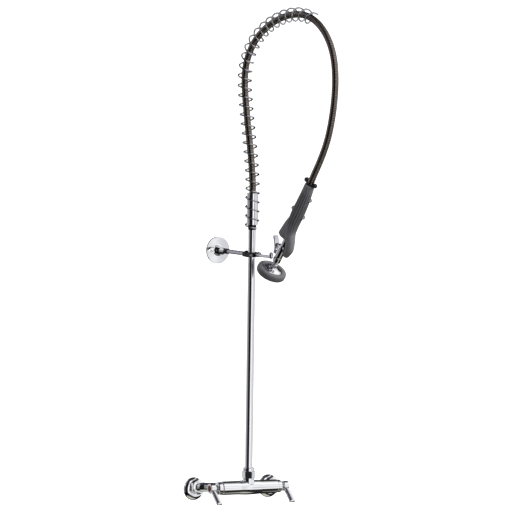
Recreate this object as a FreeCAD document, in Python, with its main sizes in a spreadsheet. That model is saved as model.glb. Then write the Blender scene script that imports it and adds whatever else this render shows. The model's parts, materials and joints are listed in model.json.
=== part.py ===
import FreeCAD, Part
import math
import os
import Sketcher
from types import SimpleNamespace

# Wall-mounted pre-rinse faucet, in millimetres.
# X runs along the wall to the right, +Y points into the wall and +Z points up.
# The origin is the midpoint of the two wall inlets, on the wall plane.
# The mixer body's axis lies along X in front of the wall, the riser stands on it, and the
# hose arches out over the sink in one upright plane, the arch plane.

V = FreeCAD.Vector
Rotation = FreeCAD.Rotation

# Driving dimensions, each written once and kept in the document's spreadsheet.
DRIVING = {
    # wall inlets and the body behind them
    "inlet_spacing": 203.2,
    "riser_reach": 79.0,
    "inlet_lift": 6.35,
    "fit_gap": 0.05,
    "inlet_flange_od": 53.5,
    "inlet_flange_deep": 11.0,
    "inlet_flange_wall": 1.6,
    "coupling_od": 30.0,
    "inlet_bore_od": 18.6,
    "inlet_bore_deep": 10.0,
    "union_thread_od": 25.0,
    "union_thread_len": 8.0,
    "union_bore": 13.0,
    "union_washer_thick": 1.5,
    "union_nut_flats": 32.0,
    "union_nut_len": 14.4,
    # mixer body
    "arm_od": 21.0,
    "arm_bore": 12.0,
    "arm_bend_y": 36.0,
    "arm_root_x": 45.0,
    "arm_root_y": 66.0,
    "barrel_od": 32.0,
    "barrel_swell": 1.2,
    "barrel_half": 75.0,
    "chamber_od": 20.0,
    "chamber_deep": 31.0,
    "bonnet_thread_od": 24.0,
    "bonnet_thread_len": 6.0,
    "gallery_od": 12.0,
    # valves and handles
    "seal_thick": 2.0,
    "disc_thick": 3.0,
    "cartridge_wall": 2.5,
    "cartridge_flange_od": 23.4,
    "cartridge_flange_thick": 1.5,
    "stem_od": 9.0,
    "stem_drive_od": 13.5,
    "bonnet_od": 29.0,
    "bonnet_len": 14.0,
    "handle_gap": 3.0,
    "hub_od": 23.0,
    "hub_len": 14.0,
    "handle_reach": 50.0,
    "handle_angle": 43.0,
    "handle_root_wide": 13.0,
    "handle_tip_wide": 16.0,
    "handle_root_thick": 9.0,
    "handle_tip_thick": 7.5,
    "index_od": 15.0,
    "index_thick": 1.6,
    # riser
    "outlet_boss_od": 27.0,
    "outlet_boss_top": 21.0,
    "outlet_thread_od": 21.0,
    "outlet_thread_len": 10.0,
    "riser_od": 17.1,
    "riser_bore": 12.5,
    "riser_len": 568.0,
    "riser_washer_thick": 2.0,
    "ferrule_od": 20.5,
    "ferrule_len": 5.0,
    "riser_nut_flats": 28.0,
    "riser_nut_collar_len": 8.0,
    # bracket
    "clamp_drop": 59.0,
    "clamp_tall": 10.5,
    "clamp_wide": 31.0,
    "clamp_half_deep": 17.0,
    "clamp_screw_od": 4.0,
    "clamp_screw_offset": 12.3,
    "rod_od": 9.5,
    "rod_nut_flats": 14.0,
    "rod_nut_len": 9.0,
    "bracket_reach": 152.4,
    "bracket_flange_od": 63.0,
    "bracket_flange_thick": 3.0,
    "bracket_hub_len": 35.0,
    "bracket_hub_root_od": 23.0,
    "bracket_hub_tip_od": 13.0,
    "bracket_screw_hole": 5.5,
    "bracket_screw_circle": 46.0,
    "rod_collar_od": 12.5,
    "rod_collar_len": 12.0,
    "hook_od": 6.5,
    "hook_reach": 86.0,
    "hook_nub_at": 31.0,
    "hook_nub_tall": 7.0,
    "hook_tip_od": 9.0,
    "hook_tip_rise": 6.5,
    # riser head and overhead spring
    "head_nut_od": 19.7,
    "head_nut_len": 10.0,
    "head_washer_thick": 2.0,
    "sleeve_od": 25.8,
    "sleeve_wall": 1.2,
    "sleeve_len": 74.0,
    "hose_tail_len": 26.0,
    "spring_od": 34.4,
    "spring_wire": 3.9,
    "spring_pitch": 21.0,
    "spring_pitch_end": 23.6,
    "spring_len": 660.0,
    "hose_od": 16.0,
    "hose_bore": 11.0,
    # sprayer
    "arch_swing": 12.0,
    "grip_scale": 1.0,
    "hose_in_grip": 25.0,
    "connector_od": 15.6,
    "connector_len": 18.0,
    "water_tube_od": 10.0,
    "water_tube_bore": 7.0,
    "end_cap_od": 21.5,
    "end_cap_len": 5.0,
    "ear_od": 10.7,
    "ear_spacing": 30.0,
    "ear_thick": 6.0,
    "spray_tilt": 32.7,
    "shell_od": 19.0,
    "shell_start": 40.0,
    "shell_len": 34.0,
    "shell_bore": 13.0,
    "neck_od": 15.0,
    "neck_bore": 8.0,
    "neck_start": 12.0,
    "cup_od": 47.0,
    "cup_wall": 2.0,
    "bumper_od": 71.0,
    "bumper_thick": 18.0,
    "bumper_top": 7.5,
    "face_thick": 2.5,
    "jet_od": 2.2,
    "pivot_out": 12.5,
    "pivot_up": 46.0,
    "lever_pin_od": 4.0,
    "lug_wide": 6.0,
    "lever_wide": 16.0,
    "plunger_od": 5.0,
    "plunger_up": 64.0,
    "packing_od": 13.0,
    "packing_len": 3.0,
    "plunger_head_od": 7.8,
    "plunger_tip": 19.8,
}

doc = FreeCAD.newDocument("pre_rinse_faucet")
sheet = doc.addObject("Spreadsheet::Sheet", "dims")
for row, (alias, number) in enumerate(DRIVING.items(), start=1):
    sheet.set(f"A{row}", alias)
    sheet.set(f"B{row}", str(number))
    sheet.setAlias(f"B{row}", alias)
doc.recompute()


class Size:
    """A length that carries its number and the spreadsheet expression that gives it."""

    def __init__(self, value, text):
        self.value = float(value)
        self.text = text

    def __float__(self):
        return self.value

    def __add__(self, other):
        other = as_size(other)
        return Size(self.value + other.value, f"({self.text} + {other.text})")

    def __sub__(self, other):
        other = as_size(other)
        return Size(self.value - other.value, f"({self.text} - {other.text})")

    def __mul__(self, factor):
        factor = as_size(factor)
        return Size(self.value * factor.value, f"({self.text} * {factor.text})")

    def __truediv__(self, divisor):
        divisor = as_size(divisor)
        return Size(self.value / divisor.value, f"({self.text} / {divisor.text})")

    def __neg__(self):
        return self * -1

    def __radd__(self, other):
        return as_size(other) + self

    def __rsub__(self, other):
        return as_size(other) - self

    def __rmul__(self, other):
        return as_size(other) * self


def as_size(number):
    """Return a plain number as a Size, and leave a Size as it is."""
    if isinstance(number, Size):
        return number
    return Size(number, f"({float(number)})")


d = SimpleNamespace(**{name: Size(number, f"dims.{name}") for name, number in DRIVING.items()})
NODES = []
SIDES = (("left", -1), ("right", 1))
ZERO = as_size(0)

# Rotations that lay a piece built along +Z onto another axis.
UPRIGHT = Rotation()
ALONG_X = Rotation(V(0, 1, 0), 90)
TO_WALL = Rotation(V(1, 0, 0), -90)
FROM_WALL = Rotation(V(1, 0, 0), 90)


def bind(thing, prop, size):
    """Tie one property to the spreadsheet."""
    thing.setExpression(prop, as_size(size).text)


def locate(thing, at, rotation):
    """Place a piece, with its position tied to the spreadsheet."""
    thing.Placement = FreeCAD.Placement(V(*[float(a) for a in at]), rotation)
    for axis, value in zip("xyz", at):
        bind(thing, f"Placement.Base.{axis}", value)


def node(thing, label):
    """Name a finished piece and list it for export."""
    thing.Label = label
    NODES.append(thing)
    return thing


def cylinder(name, radius, length, at=(0, 0, 0), rotation=UPRIGHT):
    """A plain cylinder from its base centre."""
    thing = doc.addObject("Part::Cylinder", name)
    bind(thing, "Radius", radius)
    bind(thing, "Height", length)
    locate(thing, at, rotation)
    return thing


def sphere(name, radius, at):
    """A plain ball about its centre."""
    thing = doc.addObject("Part::Sphere", name)
    bind(thing, "Radius", radius)
    locate(thing, at, UPRIGHT)
    return thing


def block(name, size, at, rotation=UPRIGHT):
    """A plain box from its low corner."""
    thing = doc.addObject("Part::Box", name)
    for prop, value in zip(("Length", "Width", "Height"), size):
        bind(thing, prop, value)
    locate(thing, at, rotation)
    return thing


def hexagon(name, flats, length, at, rotation=UPRIGHT):
    """A hexagonal bar by its width across flats."""
    thing = doc.addObject("Part::Prism", name)
    thing.Polygon = 6
    bind(thing, "Circumradius", flats / (2 * math.cos(math.pi / 6)))
    bind(thing, "Height", length)
    locate(thing, at, rotation)
    return thing


def fuse(name, things):
    """Join several solids."""
    thing = doc.addObject("Part::MultiFuse", name)
    thing.Shapes = things
    thing.Refine = True
    return thing


def cut(name, base, tools):
    """Take several tools away from a solid."""
    thing = doc.addObject("Part::Cut", name)
    thing.Base = base
    thing.Tool = tools[0] if len(tools) == 1 else fuse(f"{name}_tools", tools)
    thing.Refine = True
    return thing


def turned(name, profile, at=(0, 0, 0), rotation=UPRIGHT):
    """A turned Body: a closed outline of (radius, height) points revolved about its axis."""
    body = doc.addObject("PartDesign::Body", name)
    sketch = body.newObject("Sketcher::SketchObject", f"{name}_outline")
    plane = [part for part in body.Origin.OriginFeatures if part.Role == "XZ_Plane"][0]
    sketch.AttachmentSupport = [(plane, "")]
    sketch.MapMode = "FlatFace"
    corners = [(as_size(radius), as_size(height)) for radius, height in profile]
    count = len(corners)
    for start, end in zip(corners, corners[1:] + corners[:1]):
        ends = [V(float(radius), float(height), 0) for radius, height in (start, end)]
        sketch.addGeometry(Part.LineSegment(*ends), False)
    for index in range(count):
        sketch.addConstraint(Sketcher.Constraint("Coincident", index, 2, (index + 1) % count, 1))
    for index, corner in enumerate(corners):
        for kind, size in zip(("DistanceX", "DistanceY"), corner):
            rule = Sketcher.Constraint(kind, -1, 1, index, 1, float(size))
            bind(sketch, f"Constraints[{sketch.addConstraint(rule)}]", size)
    spin = body.newObject("PartDesign::Revolution", f"{name}_turn")
    spin.Profile = sketch
    spin.ReferenceAxis = (sketch, ["V_Axis"])
    spin.Angle = 360
    body.Tip = spin
    locate(body, at, rotation)
    return body


def ring(name, inner, outer, low, high, at=(0, 0, 0), rotation=UPRIGHT):
    """A turned tube between two radii and two heights."""
    outline = [(inner, low), (outer, low), (outer, high), (inner, high)]
    return turned(name, outline, at, rotation)


def feature(name, shape, placement=None):
    """A piece shaped by code, placed after its shape is set."""
    thing = doc.addObject("Part::Feature", name)
    thing.Shape = shape
    if placement is not None:
        thing.Placement = placement
    return thing


# Shared stations. Heights on the riser line are measured up from the body's axis.
HALF_SPACING = d.inlet_spacing / 2
AXIS_Y = -d.riser_reach
AXIS_Z = d.inlet_lift
UNION_FACE = d.inlet_flange_deep + 2.0
WASHER_Y = UNION_FACE + d.union_thread_len
ARM_END = WASHER_Y + d.union_washer_thick
ARM_COLLAR = 2.5
CHAMBER_END = d.barrel_half - d.chamber_deep
THREAD_END = d.barrel_half + d.bonnet_thread_len
BONNET_END = d.barrel_half + d.bonnet_len
HUB_START = BONNET_END + d.handle_gap
HUB_END = HUB_START + d.hub_len


def on_riser(height):
    """A point on the riser line, a height above the body's axis."""
    return (0, AXIS_Y, AXIS_Z + height)


def at_inlet(side, depth, raised):
    """A point on an inlet's axis, a depth in front of the wall."""
    return (HALF_SPACING * side, -as_size(depth), AXIS_Z if raised else ZERO)


# --- inlets -----------------------------------------------------------------

def inlet_flange(word, side):
    """The domed cover plate that hides the hole in the wall."""
    outer = d.inlet_flange_od / 2
    hole = d.coupling_od / 2 + d.fit_gap
    deep = d.inlet_flange_deep
    wall = d.inlet_flange_wall
    outline = [
        (outer - wall, 0), (outer, 0), (outer - 0.6, deep * 0.4), (outer * 0.84, deep * 0.78),
        (hole + 2.5, deep), (hole, deep), (hole, deep - wall), (hole + 1.5, deep - wall),
        (outer * 0.84 - wall, deep * 0.78 - wall), (outer - wall - 0.8, deep * 0.4 - 0.8),
    ]
    return node(turned(f"flange_{word}", outline, at_inlet(side, 0, False), FROM_WALL),
                f"inlet_flange_{word}")


def eccentric_coupling(word, side):
    """The inlet union: its wall end is on the pipe and its front thread is set higher."""
    radius = d.coupling_od / 2
    shank = cylinder(f"shank_{word}", radius, d.inlet_flange_deep + 0.5,
                     at_inlet(side, 0, False), FROM_WALL)
    front = cylinder(f"front_{word}", radius + 0.5, UNION_FACE - d.inlet_flange_deep - 0.5,
                     at_inlet(side, d.inlet_flange_deep + 0.5, True), FROM_WALL)
    thread = cylinder(f"union_{word}", d.union_thread_od / 2, d.union_thread_len,
                      at_inlet(side, UNION_FACE, True), FROM_WALL)
    inlet = cylinder(f"inlet_bore_{word}", d.inlet_bore_od / 2, d.inlet_bore_deep,
                     at_inlet(side, 0, False), FROM_WALL)
    water = cylinder(f"union_bore_{word}", d.union_bore / 2, WASHER_Y - d.inlet_bore_deep + 1.0,
                     at_inlet(side, d.inlet_bore_deep - 1.0, True), FROM_WALL)
    solid = fuse(f"coupling_solid_{word}", [shank, front, thread])
    return node(cut(f"coupling_{word}", solid, [inlet, water]), f"eccentric_coupling_{word}")


def coupling_nut(word, side):
    """The loose hexagon nut that pulls the body's arm onto the union."""
    start = UNION_FACE + 1.0
    bar = hexagon(f"union_nut_{word}", d.union_nut_flats, d.union_nut_len,
                  at_inlet(side, start, True), FROM_WALL)
    thread_len = ARM_END + ARM_COLLAR - start + 0.1
    thread = cylinder(f"union_nut_thread_{word}", d.union_thread_od / 2 + d.fit_gap, thread_len,
                      at_inlet(side, start, True), FROM_WALL)
    hole = cylinder(f"union_nut_hole_{word}", d.arm_od / 2 + d.fit_gap, d.union_nut_len,
                    at_inlet(side, start, True), FROM_WALL)
    return node(cut(f"coupling_nut_cut_{word}", bar, [thread, hole]), f"coupling_nut_{word}")


def coupling_washers():
    """The flat washers that seal the arms against the unions, one each side."""
    rings = [
        ring(f"washer_{word}", d.union_bore / 2, d.union_thread_od / 2 - 0.5, 0,
             d.union_washer_thick, at_inlet(side, WASHER_Y, True), FROM_WALL)
        for word, side in SIDES
    ]
    group = doc.addObject("Part::Compound", "coupling_washer_pair")
    group.Links = rings
    return node(group, "coupling_washers")


# --- mixer body -------------------------------------------------------------

def arm_pieces(word, side, radius, tag, ball):
    """One arm's straight end, its elbow ball and its slant down to the barrel."""
    end = at_inlet(side, ARM_END, True)
    drop = d.arm_bend_y - ARM_END
    straight = cylinder(f"arm_end_{tag}_{word}", radius, drop, end, FROM_WALL)
    elbow = sphere(f"elbow_{tag}_{word}", ball, at_inlet(side, d.arm_bend_y, True))
    run = V(side * float(d.arm_root_x - HALF_SPACING), -float(d.arm_root_y - d.arm_bend_y), 0)
    slant = cylinder(f"slant_{tag}_{word}", radius, run.Length,
                     at_inlet(side, d.arm_bend_y, True), Rotation(V(0, 0, 1), run))
    return [straight, elbow, slant]


def mixer_body():
    """The cast body: barrel, two arms to the inlets, bonnet threads and the outlet boss."""
    radius = d.barrel_od / 2
    half = d.barrel_half
    middle = 18.0
    thread = d.bonnet_thread_od / 2
    barrel = turned("barrel", [
        (0, -THREAD_END), (thread, -THREAD_END), (thread, -half), (radius - 1.0, -half),
        (radius, -half + 1.0), (radius, -middle - 12.0), (radius + d.barrel_swell, -middle + 8.0),
        (radius + d.barrel_swell, middle - 8.0), (radius, middle + 12.0), (radius, half - 1.0),
        (radius - 1.0, half), (thread, half), (thread, THREAD_END), (0, THREAD_END),
    ], (0, AXIS_Y, AXIS_Z), ALONG_X)
    solids = [barrel]
    bores = []
    for word, side in SIDES:
        solids += arm_pieces(word, side, d.arm_od / 2, "wall", d.arm_od / 2)
        solids.append(cylinder(f"arm_collar_{word}", d.union_thread_od / 2 - 0.3, ARM_COLLAR,
                               at_inlet(side, ARM_END, True), FROM_WALL))
        bores += arm_pieces(word, side, d.arm_bore / 2, "bore", d.arm_bore / 2)
        start = CHAMBER_END if side > 0 else -THREAD_END
        bores.append(cylinder(f"chamber_{word}", d.chamber_od / 2, THREAD_END - CHAMBER_END,
                              (start, AXIS_Y, AXIS_Z), ALONG_X))
    solids.append(cylinder("outlet_boss", d.outlet_boss_od / 2, d.outlet_boss_top, on_riser(0)))
    solids.append(cylinder("outlet_thread", d.outlet_thread_od / 2, d.outlet_thread_len,
                           on_riser(d.outlet_boss_top)))
    bores.append(cylinder("gallery", d.gallery_od / 2, CHAMBER_END * 2,
                          (-CHAMBER_END, AXIS_Y, AXIS_Z), ALONG_X))
    bores.append(cylinder("outlet_bore", d.gallery_od / 2,
                          d.outlet_boss_top + d.outlet_thread_len, on_riser(0)))
    return node(cut("mixer_cast", fuse("mixer_solid", solids), bores), "mixer_body")


# --- valves and handles -----------------------------------------------------

def along_body(name, side, outline):
    """Turn an outline about the body's axis, its heights running outwards on one side."""
    turn = ALONG_X if side > 0 else Rotation(V(0, 1, 0), -90)
    return turned(name, outline, (0, AXIS_Y, AXIS_Z), turn)


SEAL_END = CHAMBER_END + d.seal_thick
FIXED_END = SEAL_END + d.disc_thick
MOVING_START = FIXED_END + 0.05
MOVING_END = MOVING_START + d.disc_thick
STEM_START = MOVING_END
STEM_END = HUB_END - 4.0
CARTRIDGE_OUT = d.chamber_od / 2 - d.fit_gap
CARTRIDGE_IN = CARTRIDGE_OUT - d.cartridge_wall
DRIVE_LEN = 3.0


def seat_seals():
    """The rubber rings that seal each cartridge at the gallery's mouth."""
    rings = []
    for word, side in SIDES:
        rings.append(along_body(f"seal_{word}", side, [
            (d.gallery_od / 2, CHAMBER_END), (CARTRIDGE_OUT, CHAMBER_END),
            (CARTRIDGE_OUT, SEAL_END), (d.gallery_od / 2, SEAL_END)]))
    group = doc.addObject("Part::Compound", "seat_seal_pair")
    group.Links = rings
    return node(group, "seat_seals")


def half_moon_disc(name, side, start, radius):
    """A ceramic disc with one round port off its centre."""
    disc = along_body(f"{name}_disc", side, [
        (0, start), (radius, start), (radius, start + d.disc_thick), (0, start + d.disc_thick)])
    base = start * side
    turn = ALONG_X if side > 0 else Rotation(V(0, 1, 0), -90)
    port = cylinder(f"{name}_port", radius * 0.36, d.disc_thick,
                    (base, AXIS_Y, AXIS_Z + radius * 0.52), turn)
    return cut(f"{name}_cut", disc, [port])


def fixed_discs():
    """The lower ceramic discs, held still in the cartridges."""
    discs = [half_moon_disc(f"fixed_{word}", side, SEAL_END, CARTRIDGE_IN - 0.05)
             for word, side in SIDES]
    group = doc.addObject("Part::Compound", "fixed_disc_pair")
    group.Links = discs
    return node(group, "fixed_discs")


def cartridge(word, side):
    """The brass cartridge shell, with two water windows beside its discs."""
    stem_hole = d.stem_od / 2 + d.fit_gap
    drive_room = MOVING_END + DRIVE_LEN + 0.3
    flange = d.cartridge_flange_od / 2
    shell = along_body(f"cartridge_shell_{word}", side, [
        (CARTRIDGE_IN, SEAL_END), (CARTRIDGE_OUT, SEAL_END), (CARTRIDGE_OUT, THREAD_END),
        (flange, THREAD_END), (flange, THREAD_END + d.cartridge_flange_thick),
        (stem_hole, THREAD_END + d.cartridge_flange_thick), (stem_hole, drive_room),
        (CARTRIDGE_IN, drive_room)])
    window_long = d.disc_thick
    low_x = FIXED_END if side > 0 else -FIXED_END - window_long
    window = block(f"cartridge_window_{word}", (window_long, d.chamber_od + 2.0, 7.0),
                   (low_x, AXIS_Y - d.chamber_od / 2 - 1.0, AXIS_Z - 3.5))
    return node(cut(f"cartridge_cut_{word}", shell, [window]), f"cartridge_{word}")


def moving_disc(word, side):
    """The upper ceramic disc, turned by the stem."""
    return node(half_moon_disc(f"moving_{word}", side, MOVING_START, CARTRIDGE_IN - 0.1),
                f"moving_disc_{word}")


def stem(word, side):
    """The brass stem from the moving disc out to the handle, tapped for its screw."""
    drive = d.stem_drive_od / 2
    shaft = d.stem_od / 2
    tap = 1.9
    tap_deep = 11.0
    return node(along_body(f"stem_turned_{word}", side, [
        (0, STEM_START), (drive, STEM_START), (drive, STEM_START + DRIVE_LEN),
        (shaft, STEM_START + DRIVE_LEN), (shaft, STEM_END), (tap, STEM_END),
        (tap, STEM_END - tap_deep), (0, STEM_END - tap_deep)]), f"stem_{word}")


def bonnet(word, side):
    """The chromed nut that holds the cartridge in the body."""
    outer = d.bonnet_od / 2
    thread = d.bonnet_thread_od / 2 + d.fit_gap
    seat = THREAD_END + d.cartridge_flange_thick + 0.1
    hole = d.stem_od / 2 + 0.3
    start = d.barrel_half + 0.1
    return node(along_body(f"bonnet_turned_{word}", side, [
        (thread, start), (outer - 0.8, start), (outer, start + 0.8), (outer, BONNET_END - 4.5),
        (outer - 3.0, BONNET_END - 2.5), (hole + 4.0, BONNET_END - 1.5),
        (hole + 3.0, BONNET_END), (hole, BONNET_END), (hole, seat), (thread, seat)]),
        f"bonnet_{word}")


def handle_frame(side):
    """Placement of a handle: its local X runs outwards and its local Z runs down the lever."""
    tilt = math.radians(float(d.handle_angle))
    reach = V(0, -math.cos(tilt), -math.sin(tilt))
    turn = Rotation(V(1, 0, 0), V(), reach, "ZXY")
    return FreeCAD.Placement(V(side * float(HUB_START), float(AXIS_Y), float(AXIS_Z)), turn)


def rectangle(wide, thick, centre_x, height):
    """A closed rectangle square to local Z."""
    half_x = wide / 2
    half_y = thick / 2
    corners = [V(centre_x + sx * half_x, sy * half_y, height)
               for sx, sy in ((-1, -1), (1, -1), (1, 1), (-1, 1))]
    return Part.makePolygon(corners + corners[:1])


SCREW_HEAD = 2.2
SCREW_HEAD_R = 3.6


def handle(word, side):
    """The lever handle: a round hub over the stem and a flat blade that widens to its tip."""
    hub_radius = float(d.hub_od / 2)
    hub_len = float(d.hub_len)
    middle = side * hub_len * 0.5
    sections = [
        rectangle(float(d.handle_root_wide), float(d.handle_root_thick), middle, 4.0),
        rectangle(float(d.handle_root_wide) * 0.95, float(d.handle_root_thick) * 0.8, middle,
                  float(d.handle_reach) * 0.45),
        rectangle(float(d.handle_tip_wide), float(d.handle_tip_thick), middle,
                  float(d.handle_reach)),
    ]
    blade = Part.makeLoft(sections, True, True)
    outwards = V(side, 0, 0)
    hub = Part.makeCylinder(hub_radius, hub_len, V(), outwards)
    shape = hub.fuse(blade)
    stem_room = float(STEM_END - HUB_START) + 0.2
    shape = shape.cut(Part.makeCylinder(float(d.stem_od / 2 + d.fit_gap), stem_room, V(), outwards))
    shape = shape.cut(Part.makeCylinder(2.1, hub_len, V(), outwards))
    recess = float(d.index_thick) + SCREW_HEAD
    shape = shape.cut(Part.makeCylinder(float(d.index_od / 2) + 0.05, float(d.index_thick),
                                        outwards * (hub_len - float(d.index_thick)), outwards))
    shape = shape.cut(Part.makeCylinder(SCREW_HEAD_R + 0.1, recess,
                                        outwards * (hub_len - recess), outwards))
    shape = shape.removeSplitter()
    blade_edges = [edge for edge in shape.Edges
                   if edge.BoundBox.ZMin > hub_radius + 1 and edge.Length > 3]
    shape = shape.makeFillet(1.2, blade_edges)
    return node(feature(f"handle_shape_{word}", shape, handle_frame(side)), f"handle_{word}")


def handle_screw(word, side):
    """The screw that draws the handle onto its stem."""
    head_top = HUB_END - d.index_thick - 0.1
    under_head = head_top - SCREW_HEAD + 0.2
    shank = 1.85
    return node(along_body(f"handle_screw_turned_{word}", side, [
        (0, under_head - 10.0), (shank, under_head - 10.0), (shank, under_head),
        (SCREW_HEAD_R, under_head), (SCREW_HEAD_R, head_top), (0, head_top)]),
        f"handle_screw_{word}")


def index_button(word, side):
    """The coloured button that caps the hub."""
    radius = d.index_od / 2
    start = HUB_END - d.index_thick
    return node(along_body(f"index_turned_{word}", side, [
        (0, start), (radius, start), (radius, HUB_END), (radius - 1.5, HUB_END + 0.6),
        (0, HUB_END + 0.9)]), f"index_button_{word}")


# --- riser ------------------------------------------------------------------

RISER_BASE = d.outlet_boss_top + d.outlet_thread_len + d.riser_washer_thick
RISER_TOP = RISER_BASE + d.riser_len


def riser():
    """The riser pipe, the ferrule brazed round its foot, its washer and its hexagon nut."""
    node(ring("riser_tube", d.riser_bore / 2, d.riser_od / 2, 0, d.riser_len,
              on_riser(RISER_BASE)), "riser_pipe")
    node(ring("ferrule", d.riser_od / 2, d.ferrule_od / 2, 0, d.ferrule_len,
              on_riser(RISER_BASE)), "riser_ferrule")
    node(ring("outlet_washer", d.gallery_od / 2, d.ferrule_od / 2, 0, d.riser_washer_thick,
              on_riser(RISER_BASE - d.riser_washer_thick)), "riser_washer")
    start = d.outlet_boss_top + 0.2
    shoulder = RISER_BASE + d.ferrule_len + 0.1
    hexagon_len = shoulder - start
    bar = hexagon("riser_nut_bar", d.riser_nut_flats, hexagon_len, on_riser(start))
    outer = d.riser_nut_flats / 2 - 1.0
    collar = turned("riser_nut_collar", [
        (0, 0), (outer, 0), (outer, d.riser_nut_collar_len * 0.5),
        (d.riser_od / 2 + 2.0, d.riser_nut_collar_len), (0, d.riser_nut_collar_len)],
        on_riser(shoulder))
    thread = cylinder("riser_nut_thread", d.outlet_thread_od / 2 + d.fit_gap, hexagon_len,
                      on_riser(start))
    hole = cylinder("riser_nut_hole", d.riser_od / 2 + d.fit_gap,
                    hexagon_len + d.riser_nut_collar_len, on_riser(start))
    node(cut("riser_nut_cut", fuse("riser_nut_solid", [bar, collar]), [thread, hole]), "riser_nut")


# --- wall bracket -----------------------------------------------------------

CLAMP_Z = AXIS_Z + RISER_TOP - d.clamp_drop
CLAMP_SPLIT = 0.4


def clamp_half(word, direction):
    """Half of the riser clamp: a block with a half-round seat and a threaded stud hole."""
    low_y = AXIS_Y + CLAMP_SPLIT if direction > 0 else AXIS_Y - d.clamp_half_deep
    deep = d.clamp_half_deep - CLAMP_SPLIT
    body = block(f"clamp_block_{word}", (d.clamp_wide, deep, d.clamp_tall),
                 (-d.clamp_wide / 2, low_y, CLAMP_Z - d.clamp_tall / 2))
    seat = cylinder(f"clamp_seat_{word}", d.riser_od / 2 + d.fit_gap, d.clamp_tall,
                    (0, AXIS_Y, CLAMP_Z - d.clamp_tall / 2))
    stud = d.rod_od / 2 if direction > 0 else d.hook_od / 2
    turn = TO_WALL if direction > 0 else FROM_WALL
    tools = [seat, cylinder(f"clamp_stud_{word}", stud + d.fit_gap, d.clamp_half_deep,
                            (0, AXIS_Y, CLAMP_Z), turn)]
    for side in (-1, 1):
        tools.append(cylinder(f"clamp_hole_{word}_{side + 1}", d.clamp_screw_od / 2 + d.fit_gap,
                              d.clamp_half_deep * 2,
                              (d.clamp_screw_offset * side, AXIS_Y - d.clamp_half_deep, CLAMP_Z),
                              TO_WALL))
    return node(cut(f"clamp_cut_{word}", body, tools), f"riser_clamp_{word}")


def clamp_screws():
    """The two screws through the clamp, heads at the front and nuts at the wall side."""
    screws = []
    for side in (-1, 1):
        at = (d.clamp_screw_offset * side, AXIS_Y - d.clamp_half_deep, CLAMP_Z)
        shank = d.clamp_screw_od / 2
        grip = d.clamp_half_deep * 2
        screws.append(turned(f"clamp_screw_{side + 1}", [
            (0, -2.4), (shank + 0.8, -2.4), (shank + 1.6, -1.4), (shank + 1.6, 0), (shank, 0),
            (shank, grip), (shank + 1.5, grip), (shank + 1.5, grip + 3.0), (0, grip + 3.0)],
            at, TO_WALL))
    group = doc.addObject("Part::Compound", "clamp_screw_pair")
    group.Links = screws
    return node(group, "clamp_screws")


ROD_START = d.riser_od / 2 + 1.5
HUB_HOLE_DEEP = d.bracket_hub_len - 6.0
HUB_FRONT = d.bracket_reach - d.bracket_hub_len
ROD_END = HUB_FRONT + HUB_HOLE_DEEP


def behind_riser(distance):
    """A point on the bracket rod's line, a distance from the riser towards the wall."""
    return (0, AXIS_Y + distance, CLAMP_Z)


def bracket():
    """The rod from the clamp to the wall, its lock nut, its collar and its wall flange."""
    node(cylinder("rod", d.rod_od / 2, ROD_END - ROD_START, behind_riser(ROD_START), TO_WALL),
         "bracket_rod")
    nut = hexagon("rod_nut_bar", d.rod_nut_flats, d.rod_nut_len,
                  behind_riser(d.clamp_half_deep + 0.1), TO_WALL)
    hole = cylinder("rod_nut_hole", d.rod_od / 2 + d.fit_gap, d.rod_nut_len,
                    behind_riser(d.clamp_half_deep + 0.1), TO_WALL)
    node(cut("rod_nut_cut", nut, [hole]), "rod_nut")
    node(ring("collar", d.rod_od / 2 + d.fit_gap, d.rod_collar_od / 2, 0, d.rod_collar_len,
              behind_riser(HUB_FRONT - d.rod_collar_len), TO_WALL), "rod_collar")
    outer = d.bracket_flange_od / 2
    reach = d.bracket_reach
    thick = d.bracket_flange_thick
    plate = turned("bracket_plate", [
        (0, HUB_FRONT), (d.bracket_hub_tip_od / 2, HUB_FRONT),
        (d.bracket_hub_root_od / 2, reach - thick - 1.0),
        (d.bracket_hub_root_od / 2 + 2.0, reach - thick), (outer - 1.0, reach - thick * 0.7),
        (outer, reach - thick * 0.4), (outer, reach), (0, reach)],
        (0, AXIS_Y, CLAMP_Z), TO_WALL)
    tools = [cylinder("rod_socket", d.rod_od / 2 + d.fit_gap, HUB_HOLE_DEEP + 0.2,
                      behind_riser(HUB_FRONT), TO_WALL)]
    for side in (-1, 1):
        tools.append(cylinder(f"wall_screw_hole_{side + 1}", d.bracket_screw_hole / 2, thick + 2.0,
                              (d.bracket_screw_circle / 2 * side, AXIS_Y + reach - thick - 1.0,
                               CLAMP_Z), TO_WALL))
    set_y = HUB_FRONT + 11.0
    tools.append(cylinder("set_screw_hole", 2.05, 15.0, (0, AXIS_Y + set_y, CLAMP_Z - 15.0)))
    node(cut("bracket_flange_cut", plate, tools), "bracket_flange")
    rod_low = CLAMP_Z - d.rod_od / 2
    node(cylinder("set_screw", 2.0, 4.5, (0, AXIS_Y + set_y, rod_low - 4.5)), "bracket_set_screw")


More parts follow.
